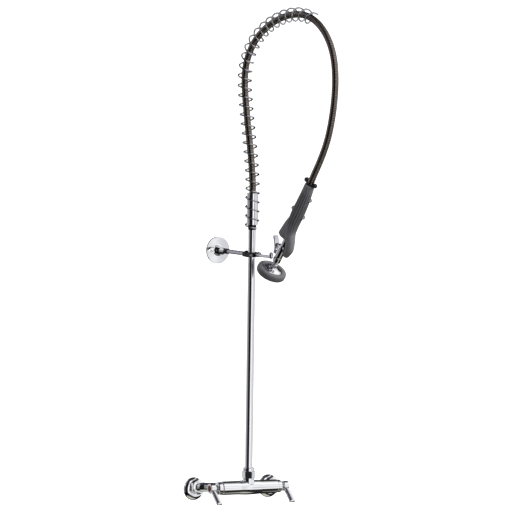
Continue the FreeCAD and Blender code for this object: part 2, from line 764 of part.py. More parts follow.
def finger_hook():
    """The rod hook that the sprayer hangs on: a small nub, and a tip that turns up."""
    radius = d.hook_od / 2
    start = d.riser_od / 2 + 1.5
    base = (0, AXIS_Y - start, CLAMP_Z)
    tip_y = AXIS_Y - d.hook_reach
    shaft = cylinder("hook_shaft", radius, d.hook_reach - start, base, FROM_WALL)
    nub = cylinder("hook_nub", radius * 0.7, d.hook_nub_tall,
                   (0, AXIS_Y - d.hook_nub_at, CLAMP_Z))
    nub_top = sphere("hook_nub_top", radius * 0.7,
                     (0, AXIS_Y - d.hook_nub_at, CLAMP_Z + d.hook_nub_tall))
    tip = cylinder("hook_tip", d.hook_tip_od / 2, d.hook_tip_rise, (0, tip_y, CLAMP_Z))
    tip_top = sphere("hook_tip_top", d.hook_tip_od / 2, (0, tip_y, CLAMP_Z + d.hook_tip_rise))
    tip_low = sphere("hook_tip_low", d.hook_tip_od / 2, (0, tip_y, CLAMP_Z))
    node(fuse("hook_fused", [shaft, nub, nub_top, tip, tip_top, tip_low]), "finger_hook")


# --- the arch plane and paths in it -----------------------------------------

SWING = math.radians(float(d.arch_swing))
OUT = V(math.sin(SWING), -math.cos(SWING), 0)
UP = V(0, 0, 1)
ACROSS = OUT.cross(UP)


# Heights in the arch plane are written as they are with the riser's top at this height, and
# everything in the plane goes up and down with the riser's real top.
ARCH_TOP = 601.0
ARCH_LIFT = RISER_TOP - ARCH_TOP
SPRING_BASE = RISER_TOP + d.spring_wire / 2
SLEEVE_BASE = RISER_TOP + d.head_nut_len
TAIL_BASE = RISER_TOP + d.head_washer_thick


def in_arch(out, height):
    """A point of the arch plane: out from the riser line, up from the body's axis."""
    level = float(AXIS_Z + ARCH_LIFT) + float(height)
    return V(0, float(AXIS_Y), 0) + OUT * float(out) + UP * level


def rounded_path(points):
    """Straight runs joined by tangent arcs, each as large as its two runs allow."""
    edges = []
    radii = []
    last = points[0]
    for before, corner, after in zip(points, points[1:], points[2:]):
        back = before - corner
        ahead = after - corner
        reach = 0.45 * min(back.Length, ahead.Length)
        back.normalize()
        ahead.normalize()
        half_angle = back.getAngle(ahead) / 2
        radius = reach * math.tan(half_angle)
        middle = (back + ahead).normalize() * (radius / math.sin(half_angle) - radius)
        edges.append(Part.LineSegment(last, corner + back * reach).toShape())
        edges.append(Part.Arc(corner + back * reach, corner + middle,
                              corner + ahead * reach).toShape())
        last = corner + ahead * reach
        radii.append(radius)
    edges.append(Part.LineSegment(last, points[-1]).toShape())
    return Part.Wire(edges), radii


def swept_bar(wire, start, direction, radius):
    """A round bar swept along a wire, its volume compared with section times length."""
    section = Part.Wire([Part.Circle(start, direction, radius).toShape()])
    bar = wire.makePipeShell([section], True, False)
    expected = math.pi * radius ** 2 * wire.Length
    if abs(bar.Volume / expected - 1) > 0.01:
        raise ValueError(f"swept volume {bar.Volume:.0f} is not {expected:.0f}")
    return bar


# The hose's route: (out, height) in the arch plane, from inside the sleeve, over the arch
# and down to the sprayer's grip. The route is chosen by hand and stays as it is.
HOSE_ROUTE = [
    (0.0, 640.0), (0.0, 672.0), (0.4, 704.0), (-3.5, 742.0), (-9.5, 786.0), (-17.5, 832.0),
    (-25.0, 878.0), (-31.5, 925.0), (-32.0, 965.0), (-22.0, 1003.0), (1.0, 1040.0),
    (35.0, 1070.0), (78.0, 1093.0), (125.0, 1106.5), (172.0, 1107.0), (213.0, 1090.0),
    (246.0, 1057.0), (266.0, 1014.0), (272.0, 966.0), (270.0, 918.0), (262.0, 868.0),
    (248.0, 818.0), (225.0, 771.0), (199.7, 730.1), (180.62, 692.74),
]
GRIP_TOP = (192.0, 715.0)
GRIP_FOOT = (124.5, 583.0)


def hose_wire():
    """The hose's centre line and its bend radii."""
    return rounded_path([in_arch(*point) for point in HOSE_ROUTE])


def hose():
    """The armoured hose, one plain tube along its route."""
    wire, radii = hose_wire()
    start = in_arch(*HOSE_ROUTE[0])
    heading = in_arch(*HOSE_ROUTE[1]) - start
    outer = swept_bar(wire, start, heading, float(d.hose_od / 2))
    inner = swept_bar(wire, start, heading, float(d.hose_bore / 2))
    print("hose length", round(wire.Length, 1), "bend radii", [round(r) for r in radii])
    node(feature("hose_tube", outer.cut(inner)), "hose")


def overhead_spring():
    """The open-wound spring that carries the hose: a helix about the hose's centre line.

    Its pitch grows evenly along it, from the sleeve to its free end.
    """
    points = [V(*[float(a) for a in on_riser(SPRING_BASE)])]
    points += [in_arch(*point) for point in HOSE_ROUTE[1:]]
    wire = rounded_path(points)[0]
    spaced = wire.discretize(Distance=0.5)
    step = wire.Length / (len(spaced) - 1)
    first = float(d.spring_pitch)
    growth = float((d.spring_pitch_end - d.spring_pitch) / d.spring_len)
    turns = math.log(float(d.spring_pitch_end) / first) / growth
    per_turn = 12
    coil = float(d.spring_od / 2 - d.spring_wire / 2) / math.cos(math.pi / per_turn)
    helix = []
    for index in range(int(turns * per_turn) + 1):
        along = first / growth * (math.exp(growth * index / per_turn) - 1) / step
        before = spaced[int(along)]
        run = spaced[int(along) + 1] - before
        centre = before + run * (along - int(along))
        normal = ACROSS.cross(run.normalize())
        turn = math.pi + 2 * math.pi * index / per_turn
        helix.append(centre + normal * (coil * math.cos(turn)) - ACROSS * (coil * math.sin(turn)))
    line = rounded_path(helix)[0]
    print("spring turns", round(turns, 2), "wire length", round(line.Length))
    node(feature("spring_helix", swept_bar(line, helix[0], helix[1] - helix[0],
                                           float(d.spring_wire / 2))), "overhead_spring")


# --- riser head -------------------------------------------------------------

def riser_head():
    """The dark dome nut on the riser, the hose's tail, its washer and the sleeve over them."""
    neck = d.riser_od / 2 + d.fit_gap
    dome = d.head_nut_od / 2
    lip = RISER_TOP - 1.5
    top = RISER_TOP + d.head_nut_len
    node(turned("dome_nut", [
        (neck, lip), (neck + 0.4, lip), (dome - 0.6, RISER_TOP + 1.5), (dome, RISER_TOP + 5.0),
        (dome, top), (neck, top)], on_riser(0)), "riser_head_nut")
    node(ring("head_washer", d.riser_bore / 2, neck - d.fit_gap, 0, d.head_washer_thick,
              on_riser(RISER_TOP)), "hose_washer")
    bore = d.hose_bore / 2 - 1.5
    tail_top = ARCH_LIFT + HOSE_ROUTE[0][1]
    node(turned("tail", [
        (bore, TAIL_BASE), (neck - 0.1, TAIL_BASE), (neck - 0.1, SLEEVE_BASE),
        (d.hose_od / 2 + 1.5, SLEEVE_BASE + 0.1), (d.hose_od / 2 + 1.5, tail_top),
        (bore, tail_top)], on_riser(0)), "hose_tail_fitting")
    inner = d.sleeve_od / 2 - d.sleeve_wall
    outer = d.sleeve_od / 2
    top = SLEEVE_BASE + d.sleeve_len
    screw_z = SLEEVE_BASE + 12.0
    tube = turned("sleeve_tube", [
        (inner, SLEEVE_BASE + 6.0), (d.hose_od / 2 + 1.6, SLEEVE_BASE + 6.0),
        (d.hose_od / 2 + 1.6, SLEEVE_BASE + 0.1), (outer, SLEEVE_BASE + 0.1),
        (outer, top - 1.5), (outer - 1.0, top), (d.hose_od / 2 + 2.0, top),
        (d.hose_od / 2 + 2.0, top - 1.2), (inner, top - 1.2)], on_riser(0))
    screw_at = (0, AXIS_Y - outer, AXIS_Z + screw_z)
    hole = cylinder("sleeve_screw_hole", 1.55, outer - d.hose_od / 2 - 1.5, screw_at, TO_WALL)
    node(cut("sleeve_cut", tube, [hole]), "spring_sleeve")
    node(cylinder("sleeve_screw_body", 1.5, outer - d.hose_od / 2 - 1.6, screw_at, TO_WALL),
         "sleeve_set_screw")


# --- sprayer ----------------------------------------------------------------

def frame_at(origin, heading):
    """A placement in the arch plane: local Z runs along a heading and local X to the riser."""
    along = (OUT * heading[0] + UP * heading[1]).normalize()
    to_riser = ACROSS.cross(along)
    turn = Rotation(to_riser, V(), along, "ZXY")
    return FreeCAD.Placement(in_arch(*origin), turn)


GRIP_HEADING = (GRIP_TOP[0] - GRIP_FOOT[0], GRIP_TOP[1] - GRIP_FOOT[1])
GRIP_FRAME = frame_at(GRIP_TOP, GRIP_HEADING)
SPRAY_TILT = math.radians(float(d.spray_tilt))
SPRAY_CENTRE = (68.0, 508.0)
SPRAY_FRAME = frame_at(SPRAY_CENTRE, (math.sin(SPRAY_TILT), math.cos(SPRAY_TILT)))


def in_spray(aside, up, across=0.0):
    """A point of the spray frame: towards the riser, back up the spray axis, and across."""
    return SPRAY_FRAME.multVec(V(float(aside), float(across), float(up)))


def spray_heading(aside, up):
    """A direction of the spray frame."""
    return SPRAY_FRAME.Rotation.multVec(V(float(aside), 0, float(up)))


def set_in(frame, thing):
    """Put a turned piece, built about local Z, into a frame of the arch plane."""
    thing.Placement = frame
    return thing


def turned_in(frame, name, outline):
    """A turned Body placed in a frame of the arch plane."""
    body = turned(name, outline)
    for axis in "xyz":
        body.setExpression(f"Placement.Base.{axis}", None)
    return set_in(frame, body)


# The grip's centre line and its radius at each station, as (out, height, radius).
GRIP_STATIONS = [
    (192.0, 715.0, 12.2), (181.6, 695.0, 13.4), (166.2, 668.0, 15.2), (150.5, 642.5, 15.8),
    (138.0, 620.5, 14.4), (130.0, 600.0, 12.4), (129.0, 579.0, 11.2), (125.5, 561.0, 10.4),
    (116.5, 549.5, 8.4),
]
GRIP_WEB = [(145.0, 651.0), (118.0, 627.0), (95.0, 600.0), (101.0, 591.0), (126.0, 578.0),
            (134.0, 600.0), (141.0, 625.0)]
# The finger stops, as (out, height, radius of the grip there, side): 1 faces the riser.
GRIP_NUBS = [(174.4, 682.4, 14.2, -1), (150.5, 642.5, 15.8, -1), (158.1, 654.9, 15.5, 1)]
NUB_BEAD = 3.4
WEB_WIDE = 15.0


def grip_station(down):
    """The arch-plane point a distance down the grip's axis from its mouth."""
    length = math.hypot(*GRIP_HEADING)
    return (GRIP_TOP[0] - GRIP_HEADING[0] / length * down,
            GRIP_TOP[1] - GRIP_HEADING[1] / length * down)


def spray_station(up):
    """The arch-plane point a distance up the spray axis."""
    return (SPRAY_CENTRE[0] + math.sin(SPRAY_TILT) * up, SPRAY_CENTRE[1] + math.cos(SPRAY_TILT) * up)


# The water tube's line, from the hose's connector down into the shell's inlet neck.
INLET_RADIUS = 7.5
INLET_TOP = 92.0
TUBE_END = 78.0
TUBE_SEAT = 8.0
WATER_LINE = [grip_station(float(d.hose_in_grip) + TUBE_SEAT + 0.2), grip_station(88.0),
              (136.5, 611.0), spray_station(TUBE_END + 20.0), spray_station(TUBE_END)]


def grip():
    """The moulded handle: a swelling grip, a curled heel, a web, and bores for hose and tube."""
    scale = float(d.grip_scale)
    centres = [in_arch(out, height) for out, height, _ in GRIP_STATIONS]
    sections = []
    for index, (_, _, radius) in enumerate(GRIP_STATIONS):
        before = centres[max(index - 1, 0)]
        after = centres[min(index + 1, len(centres) - 1)]
        circle = Part.Circle(centres[index], after - before, radius * scale)
        sections.append(Part.Wire([circle.toShape()]))
    shape = Part.makeLoft(sections, True, False)
    heel = GRIP_STATIONS[-1]
    shape = shape.fuse(Part.makeSphere(heel[2] * scale, centres[-1]))
    web = Part.Face(Part.makePolygon([in_arch(*corner) - ACROSS * (WEB_WIDE / 2)
                                      for corner in GRIP_WEB + GRIP_WEB[:1]]))
    shape = shape.fuse(web.extrude(ACROSS * WEB_WIDE))
    down = -(GRIP_FRAME.Rotation.multVec(V(0, 0, 1)))
    top = in_arch(*GRIP_TOP)
    socket = float(d.hose_in_grip + d.connector_len) + 0.3
    shape = shape.cut(Part.makeCylinder(float(d.hose_od / 2) + 0.3, socket + 5, top - down * 5, down))
    water, _ = rounded_path([in_arch(*point) for point in WATER_LINE])
    start = in_arch(*WATER_LINE[0])
    heading = in_arch(*WATER_LINE[1]) - start
    shape = shape.cut(swept_bar(water, start, heading, float(d.water_tube_od / 2) + 0.2))
    room_end = float(d.shell_start + d.shell_len) + 4.0
    axis = spray_heading(0, 1)
    shell_room = Part.makeCylinder(float(d.shell_od / 2) + 0.4, room_end - 30.0,
                                   in_spray(0, 30.0), axis)
    inlet_room = Part.makeCylinder(INLET_RADIUS + 0.3, INLET_TOP + 0.3 - 60.0,
                                   in_spray(0, 60.0), axis)
    shape = shape.cut(shell_room).cut(inlet_room)
    for nub in grip_nubs():
        shape = shape.fuse(nub)
    node(feature("grip_shape", shape), "grip")


def grip_nubs():
    """Finger stops on the grip: short part rings that stand out of its surface."""
    nubs = []
    for out, height, radius, side in GRIP_NUBS:
        ring_radius = radius * float(d.grip_scale) + NUB_BEAD / 3
        nub = Part.makeTorus(ring_radius, NUB_BEAD, V(), V(0, 0, 1), 0, 360, 70)
        nub.rotate(V(), V(0, 0, 1), -35 if side > 0 else 145)
        nub.Placement = frame_at((out, height), GRIP_HEADING).multiply(nub.Placement)
        nubs.append(nub)
    return nubs


def hose_connector():
    """The brass fitting inside the grip that joins the hose to the water tube."""
    hose_end = -d.hose_in_grip - d.fit_gap
    end = hose_end - d.connector_len
    outer = d.connector_od / 2
    tube = d.water_tube_od / 2 + d.fit_gap
    node(turned_in(GRIP_FRAME, "connector", [
        (d.water_tube_bore / 2, hose_end), (outer, hose_end), (outer, end), (tube, end),
        (tube, hose_end - TUBE_SEAT), (d.water_tube_bore / 2, hose_end - TUBE_SEAT)]),
        "hose_connector")


def water_tube():
    """The brass tube through the grip, from the hose's connector to the valve shell."""
    water, _ = rounded_path([in_arch(*point) for point in WATER_LINE])
    start = in_arch(*WATER_LINE[0])
    heading = in_arch(*WATER_LINE[1]) - start
    outer = swept_bar(water, start, heading, float(d.water_tube_od / 2))
    inner = swept_bar(water, start, heading, float(d.water_tube_bore / 2))
    node(feature("water_tube_shape", outer.cut(inner)), "water_tube")


def grip_end_cap():
    """The dark cap at the grip's mouth, with an ear on each side of the hose."""
    inner = d.hose_od / 2 + 0.3
    base = turned_in(GRIP_FRAME, "cap_ring", [
        (inner, 0.1), (d.end_cap_od / 2 - 1.0, 0.1), (d.end_cap_od / 2, 1.0),
        (d.end_cap_od / 2 - 0.5, d.end_cap_len), (inner, d.end_cap_len)])
    doc.recompute()
    shape = base.Shape.copy()
    half = float(d.ear_spacing) / 2
    radius = float(d.ear_od) / 2
    thick = float(d.ear_thick)
    lift = radius + 0.15
    for side in (-1, 1):
        ear = Part.makeCylinder(radius, thick, V(side * half, -thick / 2, lift), V(0, 1, 0))
        web = Part.makeBox(half, thick * 0.8, float(d.end_cap_len) - 0.6)
        web.translate(V(0 if side > 0 else -half, -thick * 0.4, 0.4))
        ear = ear.fuse(web).cut(Part.makeCylinder(float(inner) + 1.0, 40, V(0, 0, -20)))
        ear.Placement = GRIP_FRAME.multiply(ear.Placement)
        shape = shape.fuse(ear)
    node(feature("end_cap_shape", shape.removeSplitter()), "grip_end_cap")


CROSS_BORE = 4.6
CROSS_FLOOR = 1.8 - float(d.shell_od / 2)
HEAD_IN = 0.4
HEAD_THICK = 1.8
PACKING_START = d.shell_od / 2 + 1.0


def valve_shell():
    """The chromed valve body: a domed barrel, its inlet neck, the pivot lug and its bores."""
    radius = float(d.shell_od / 2)
    start = float(d.shell_start)
    length = float(d.shell_len)
    axis = spray_heading(0, 1)
    shape = Part.makeCylinder(radius, length - 9.0, in_spray(0, start), axis)
    dome = Part.makeSphere(radius, in_spray(0, start + length - 9.0))
    shape = shape.fuse(dome)
    neck_base = start + length - 9.0
    shape = shape.fuse(Part.makeCylinder(INLET_RADIUS, INLET_TOP - neck_base,
                                         in_spray(0, neck_base), axis))
    pivot = V(float(d.pivot_out), 0, float(d.pivot_up))
    lug = Part.makeBox(float(d.pivot_out) - 6.0, float(d.lug_wide), 9.0,
                       V(6.0, -float(d.lug_wide) / 2, float(d.pivot_up) - 4.5))
    eye = Part.makeCylinder(4.5, float(d.lug_wide), pivot - V(0, float(d.lug_wide) / 2, 0),
                            V(0, 1, 0))
    lug = lug.fuse(eye)
    packing_seat = Part.makeCylinder(float(d.packing_od / 2), radius + 1.0,
                                     V(0, 0, float(d.plunger_up)), V(1, 0, 0))
    lug = lug.fuse(packing_seat)
    lug.Placement = SPRAY_FRAME
    shape = shape.fuse(lug)
    pin_hole = Part.makeCylinder(float(d.lever_pin_od / 2) + 0.03, 20,
                                 pivot - V(0, 10, 0), V(0, 1, 0))
    bore = Part.makeCylinder(float(d.shell_bore / 2), float(d.plunger_up) - start + 4.0,
                             V(0, 0, start))
    cross = Part.makeCylinder(CROSS_BORE, radius + 1.0 - CROSS_FLOOR,
                              V(CROSS_FLOOR, 0, float(d.plunger_up)), V(1, 0, 0))
    for tool in (pin_hole, bore, cross):
        tool.Placement = SPRAY_FRAME
        shape = shape.cut(tool)
    tube_room = Part.makeCylinder(float(d.water_tube_od / 2 + d.fit_gap), INLET_TOP - TUBE_END,
                                  in_spray(0, TUBE_END), axis)
    water = Part.makeCylinder(float(d.water_tube_bore / 2), TUBE_END - float(d.plunger_up),
                              in_spray(0, float(d.plunger_up)), axis)
    shape = shape.cut(tube_room).cut(water)
    node(feature("shell_shape", shape), "valve_shell")


def across_spray(name, outline):
    """A turned piece about the plunger's axis, its heights running towards the riser."""
    frame = FreeCAD.Placement(in_spray(0, d.plunger_up),
                              Rotation(spray_heading(0, -1), V(), spray_heading(1, 0), "ZXY"))
    return turned_in(frame, name, outline)


def plunger_set():
    """The plunger the lever pushes, its spring, its seat washer and the packing nut."""
    shaft = d.plunger_od / 2
    seat = PACKING_START - 0.1
    head = d.plunger_head_od / 2
    tip = d.plunger_tip
    node(across_spray("plunger_turned", [
        (0, HEAD_IN), (head, HEAD_IN), (head, HEAD_IN + HEAD_THICK),
        (shaft, HEAD_IN + HEAD_THICK), (shaft, tip - 1.2), (shaft - 0.4, tip - 0.4),
        (shaft - 1.2, tip), (0, tip)]), "plunger")
    node(across_spray("seat_washer_turned", [
        (shaft + 0.05, seat - 1.8), (CROSS_BORE - 0.05, seat - 1.8), (CROSS_BORE - 0.05, seat),
        (shaft + 0.05, seat)]), "packing_seal")
    outer = d.packing_od / 2
    end = PACKING_START + d.packing_len
    node(across_spray("packing_turned", [
        (shaft + 0.05, PACKING_START), (outer, PACKING_START), (outer, end - 2.0),
        (outer - 2.0, end), (shaft + 0.05, end)]), "packing_nut")


def plunger_spring():
    """The small spring that pushes the plunger and the lever back out."""
    turns = 3
    per_turn = 12
    wire_radius = 0.4
    coil = (float(d.plunger_od / 2) + 0.75) / math.cos(math.pi / per_turn)
    start = CROSS_FLOOR + wire_radius + 0.05
    end = HEAD_IN - wire_radius - 0.05
    step = (end - start) / (turns * per_turn)
    points = []
    for index in range(turns * per_turn + 1):
        angle = 2 * math.pi * index / per_turn
        points.append(in_spray(start + step * index, float(d.plunger_up) + coil * math.cos(angle),
                               coil * math.sin(angle)))
    line = rounded_path(points)[0]
    node(feature("plunger_spring_shape", swept_bar(line, points[0], points[1] - points[0],
                                                   wire_radius)), "plunger_spring")


def spray_lever():
    """The chromed squeeze lever: two cheeks on the pivot pin and a blade splayed outwards."""
    wide = float(d.lever_wide)
    cheek = float(d.lug_wide) / 2 + 0.3
    out = float(d.pivot_out)
    up = float(d.pivot_up)
    blade = [(out + 1.0, up + 7.5), (out + 4.8, up + 5.2), (out + 14.0, up + 19.0),
             (out + 25.0, up + 29.0), (out + 22.5, up + 32.5), (out + 12.0, up + 22.5)]
    cheeks = [(out - 1.0, up + 4.0), (out - 2.8, up + 2.5), (out - 3.0, up - 1.5),
              (out - 0.5, up - 3.8), (out + 3.0, up - 3.4), (out + 4.8, up + 5.2),
              (out + 12.0, up + 17.0), (out + 9.0, up + 18.6)]

    def plate(outline, low, high):
        corners = [V(x, low, z) for x, z in outline + outline[:1]]
        return Part.Face(Part.makePolygon(corners)).extrude(V(0, high - low, 0))

    shape = plate(blade, -wide / 2, wide / 2)
    for side in (-1, 1):
        low, high = sorted((side * cheek, side * (cheek + 2.6)))
        shape = shape.fuse(plate(cheeks, low, high))
    shape = shape.removeSplitter()
    hole = Part.makeCylinder(float(d.lever_pin_od / 2) + 0.005, wide, V(out, -wide / 2, up),
                             V(0, 1, 0))
    shape = shape.cut(hole)
    node(feature("lever_shape", shape, SPRAY_FRAME), "spray_lever")
    pin_len = 2 * (cheek + 2.6) + 1.2
    pin = Part.makeCylinder(float(d.lever_pin_od / 2), pin_len, V(out, -pin_len / 2, up),
                            V(0, 1, 0))
    node(feature("pin_shape", pin, SPRAY_FRAME), "lever_pin")


def spray_head():
    """The neck, the chromed cup, the rubber bumper ring, the spray face and its screw."""
    neck = d.neck_od / 2
    bore = d.neck_bore / 2
    neck_top = d.shell_start
    node(turned_in(SPRAY_FRAME, "neck", [
        (bore, d.neck_start - 2.0), (neck - 1.0, d.neck_start - 2.0), (neck - 1.0, d.neck_start),
        (neck, d.neck_start + 0.1), (neck, d.neck_start + 8.0), (neck - 2.0, d.neck_start + 9.5),
        (neck - 2.0, d.neck_start + 13.0), (neck + 2.0, d.neck_start + 15.0),
        (neck + 2.0, neck_top), (d.shell_bore / 2 - 0.05, neck_top),
        (d.shell_bore / 2 - 0.05, neck_top + 5.0), (bore, neck_top + 5.0)]), "spray_neck")
    cup = d.cup_od / 2
    wall = d.cup_wall
    face_back = -as_size(3.5)
    node(turned_in(SPRAY_FRAME, "cup", [
        (cup - wall, face_back), (cup, face_back), (cup, 4.0), (cup - 3.5, 7.0),
        (neck + 3.5, d.neck_start - 2.5), (neck + 2.0, d.neck_start), (neck - 1.0, d.neck_start),
        (neck - 1.0, d.neck_start - 3.0), (cup - 4.5, 4.6), (cup - wall, 2.5)]), "spray_cup")
    inner = cup + d.fit_gap
    outer = d.bumper_od / 2
    low = d.bumper_top - d.bumper_thick
    high = d.bumper_top
    node(turned_in(SPRAY_FRAME, "bumper", [
        (inner, low + 0.5), (inner + 2.5, low), (outer - 3.5, low), (outer - 0.8, low + 3.0),
        (outer, (low + high) / 2), (outer - 0.8, high - 3.0), (outer - 3.5, high - 0.4), (inner + 2.0, high),
        (inner, high - 2.0)]), "bumper_ring")
    spray_face(face_back)


def spray_face(face_back):
    """The perforated face: a disc with a centre hole and two rings of jets."""
    radius = d.cup_od / 2 - 0.1
    thick = d.face_thick
    low = face_back - thick
    disc = turned("face_disc", [(2.1, low), (radius - 1.0, low), (radius, low + 1.0),
                                (radius, face_back - 0.05), (2.1, face_back - 0.05)])
    doc.recompute()
    sketch = disc.newObject("Sketcher::SketchObject", "jet_outline")
    plane = [part for part in disc.Origin.OriginFeatures if part.Role == "XY_Plane"][0]
    sketch.AttachmentSupport = [(plane, "")]
    sketch.MapMode = "FlatFace"
    for index, share in enumerate((0.42, 0.72)):
        at = radius * share
        sketch.addGeometry(Part.Circle(V(float(at), 0, 0), V(0, 0, 1), float(d.jet_od / 2)), False)
        for kind, arguments, size in (("Radius", (index,), d.jet_od / 2),
                                      ("DistanceX", (-1, 1, index, 3), at),
                                      ("DistanceY", (-1, 1, index, 3), ZERO)):
            rule = Sketcher.Constraint(kind, *arguments, float(size))
            bind(sketch, f"Constraints[{sketch.addConstraint(rule)}]", size)
    pocket = disc.newObject("PartDesign::Pocket", "jets")
    pocket.Profile = sketch
    pocket.Type = 1
    pocket.Reversed = False
    doc.recompute()
    jets = 12
    pattern = disc.newObject("PartDesign::PolarPattern", "jet_rings")
    pattern.Originals = [pocket]
    pattern.Axis = (sketch, ["N_Axis"])
    pattern.Angle = 360
    pattern.Occurrences = jets
    disc.Tip = pattern
    doc.recompute()
    for axis in "xyz":
        disc.setExpression(f"Placement.Base.{axis}", None)
    node(set_in(SPRAY_FRAME, disc), "spray_face")
    node(turned_in(SPRAY_FRAME, "face_screw_turned", [
        (0, low - 2.0), (2.6, low - 2.0), (3.6, low - 1.0), (3.6, low), (2.0, low),
        (2.0, face_back + 1.0), (0, face_back + 1.0)]), "face_screw")


def build():
    """Make every piece of the faucet."""
    mixer_body()
    for word, side in SIDES:
        inlet_flange(word, side)
        eccentric_coupling(word, side)
        coupling_nut(word, side)
        cartridge(word, side)
        moving_disc(word, side)
        stem(word, side)
        bonnet(word, side)
        handle(word, side)
        handle_screw(word, side)
        index_button(word, side)
    coupling_washers()
    seat_seals()
    fixed_discs()
    riser()
    clamp_half("front", -1)
    clamp_half("rear", 1)
    clamp_screws()
    bracket()
    finger_hook()
    riser_head()
    overhead_spring()
    hose()
    hose_connector()
    water_tube()
    grip()
    grip_end_cap()
    valve_shell()
    plunger_set()
    plunger_spring()
    spray_lever()
    spray_head()
    doc.recompute()


def check_document():
    """Stop if any object failed or any piece has no valid solid."""
    for thing in doc.Objects:
        if "Invalid" in thing.State or "Error" in thing.State:
            raise RuntimeError(f"{thing.Name} failed: {thing.State}")
    for piece in NODES:
        if piece.Shape.isNull() or not piece.Shape.isValid() or not piece.Shape.Solids:
            raise RuntimeError(f"{piece.Label} has no valid solid")


def write_parts():
    """Write each piece to its own file."""
    os.makedirs("parts", exist_ok=True)
    for piece in NODES:
        piece.Shape.exportStep(f"parts/{piece.Label}.step")
        print(piece.Label, len(piece.Shape.Solids), round(piece.Shape.Volume, 1))


build()
check_document()
write_parts()
print("nodes", len(NODES))
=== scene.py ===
# %% [markdown]
# # A wall-mounted pre rinse faucet
# This lesson dresses the CAD model of a kitchen rinse faucet: a two-handle mixer, a tall riser held by
# a wall bracket, a hose carried by an open spring, and a squeeze sprayer. The CAD gives every place and
# size. Here the visible pieces get finer surfaces and each finish gets its own material.

# %% Load the model as a fixed frame
import json
import math

import bpy
import numpy as np
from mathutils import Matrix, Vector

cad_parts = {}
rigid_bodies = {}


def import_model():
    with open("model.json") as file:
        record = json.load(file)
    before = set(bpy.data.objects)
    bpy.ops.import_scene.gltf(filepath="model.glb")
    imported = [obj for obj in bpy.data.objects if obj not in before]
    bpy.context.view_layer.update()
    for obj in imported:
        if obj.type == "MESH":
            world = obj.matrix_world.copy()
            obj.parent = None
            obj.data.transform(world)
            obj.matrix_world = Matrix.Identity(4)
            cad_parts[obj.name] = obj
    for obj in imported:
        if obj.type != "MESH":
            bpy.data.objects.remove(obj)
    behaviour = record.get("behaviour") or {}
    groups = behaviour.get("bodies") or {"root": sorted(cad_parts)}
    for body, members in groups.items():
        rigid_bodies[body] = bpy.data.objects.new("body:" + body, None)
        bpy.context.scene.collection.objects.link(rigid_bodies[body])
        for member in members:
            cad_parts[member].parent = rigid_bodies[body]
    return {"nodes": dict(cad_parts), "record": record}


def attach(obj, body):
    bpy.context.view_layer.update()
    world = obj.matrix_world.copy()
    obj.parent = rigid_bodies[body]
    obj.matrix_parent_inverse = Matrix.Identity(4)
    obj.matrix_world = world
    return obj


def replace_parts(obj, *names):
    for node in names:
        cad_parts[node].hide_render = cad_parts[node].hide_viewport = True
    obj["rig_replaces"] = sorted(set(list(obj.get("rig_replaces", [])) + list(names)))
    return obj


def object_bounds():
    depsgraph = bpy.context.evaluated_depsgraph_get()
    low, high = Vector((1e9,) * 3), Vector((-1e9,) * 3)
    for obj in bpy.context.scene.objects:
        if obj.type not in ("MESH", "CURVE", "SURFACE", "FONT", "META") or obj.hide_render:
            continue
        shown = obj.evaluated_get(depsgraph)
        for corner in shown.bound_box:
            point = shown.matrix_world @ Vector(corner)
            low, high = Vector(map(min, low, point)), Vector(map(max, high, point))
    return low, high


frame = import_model()
cad_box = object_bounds()

# %% [markdown]
# ## The camera
# The faucet is tall and thin, so it is shown with a long lens from far off, which keeps the riser's
# sides parallel. The camera stands to the left of the wall's normal and looks down by four degrees. It
# is tipped by under a degree, so the riser leans a touch.

# %% Camera
MM = 0.001                                # one millimetre in metres
METRE = 1000.0                            # one metre in millimetres
RISER = np.array([0.0, -79.0, 6.35])      # the foot of the riser's line, on the mixer's axis
INLET_X = 101.6                           # half the spacing of the two wall inlets
SENSOR = 36.0
az, el, lean = np.radians([-31.5, 4.1, 0.82])
back = np.array([np.sin(az) * np.cos(el), -np.cos(az) * np.cos(el), np.sin(el)])
right = np.array([np.cos(az), np.sin(az), 0.0])
upward = np.cross(back, right)
aim = RISER + np.array([0.0, 0.0, 538.6]) + right * 10.0
distance, frame_wide = 30000.0, 1187.5    # how far off it stands, and the width it takes in there

camera_data = bpy.data.cameras.new("studio_camera")
camera_data.sensor_width = SENSOR
camera_data.lens = SENSOR * distance / frame_wide
camera_data.clip_end = 300.0
camera = bpy.data.objects.new("studio_camera", camera_data)
bpy.context.scene.collection.objects.link(camera)
pose = np.eye(4)
pose[:3, 0] = right * np.cos(lean) + upward * np.sin(lean)
pose[:3, 1] = upward * np.cos(lean) - right * np.sin(lean)
pose[:3, 2] = back
pose[:3, 3] = (aim + back * distance) * MM
camera.matrix_world = pose.T.tolist()
bpy.context.scene.camera = camera
print("lens", round(camera_data.lens, 1), "mm, at", np.round(pose[:3, 3], 2))

# %% [markdown]
# ## The hose's line
# The armoured hose rises out of the riser's head, arches over and comes down into the sprayer's grip.
# It hangs in one upright plane that is swung a little from the wall's normal. Its line is one smooth
# NURBS curve: the points are its control points, so it never kinks at them. The tube and the spring
# both follow points read from that one curve.

# %% The arch's plane
swing = math.radians(12.0)
OUT = np.array([math.sin(swing), -math.cos(swing), 0.0])
UP = np.array([0.0, 0.0, 1.0])
ACROSS = np.cross(OUT, UP)


def in_arch(points):
    """Places from (out, height) pairs: the riser's foot, plus OUT times out, plus UP times height."""
    points = np.atleast_2d(np.asarray(points, float))
    return RISER + points[:, :1] * OUT + points[:, 1:2] * UP


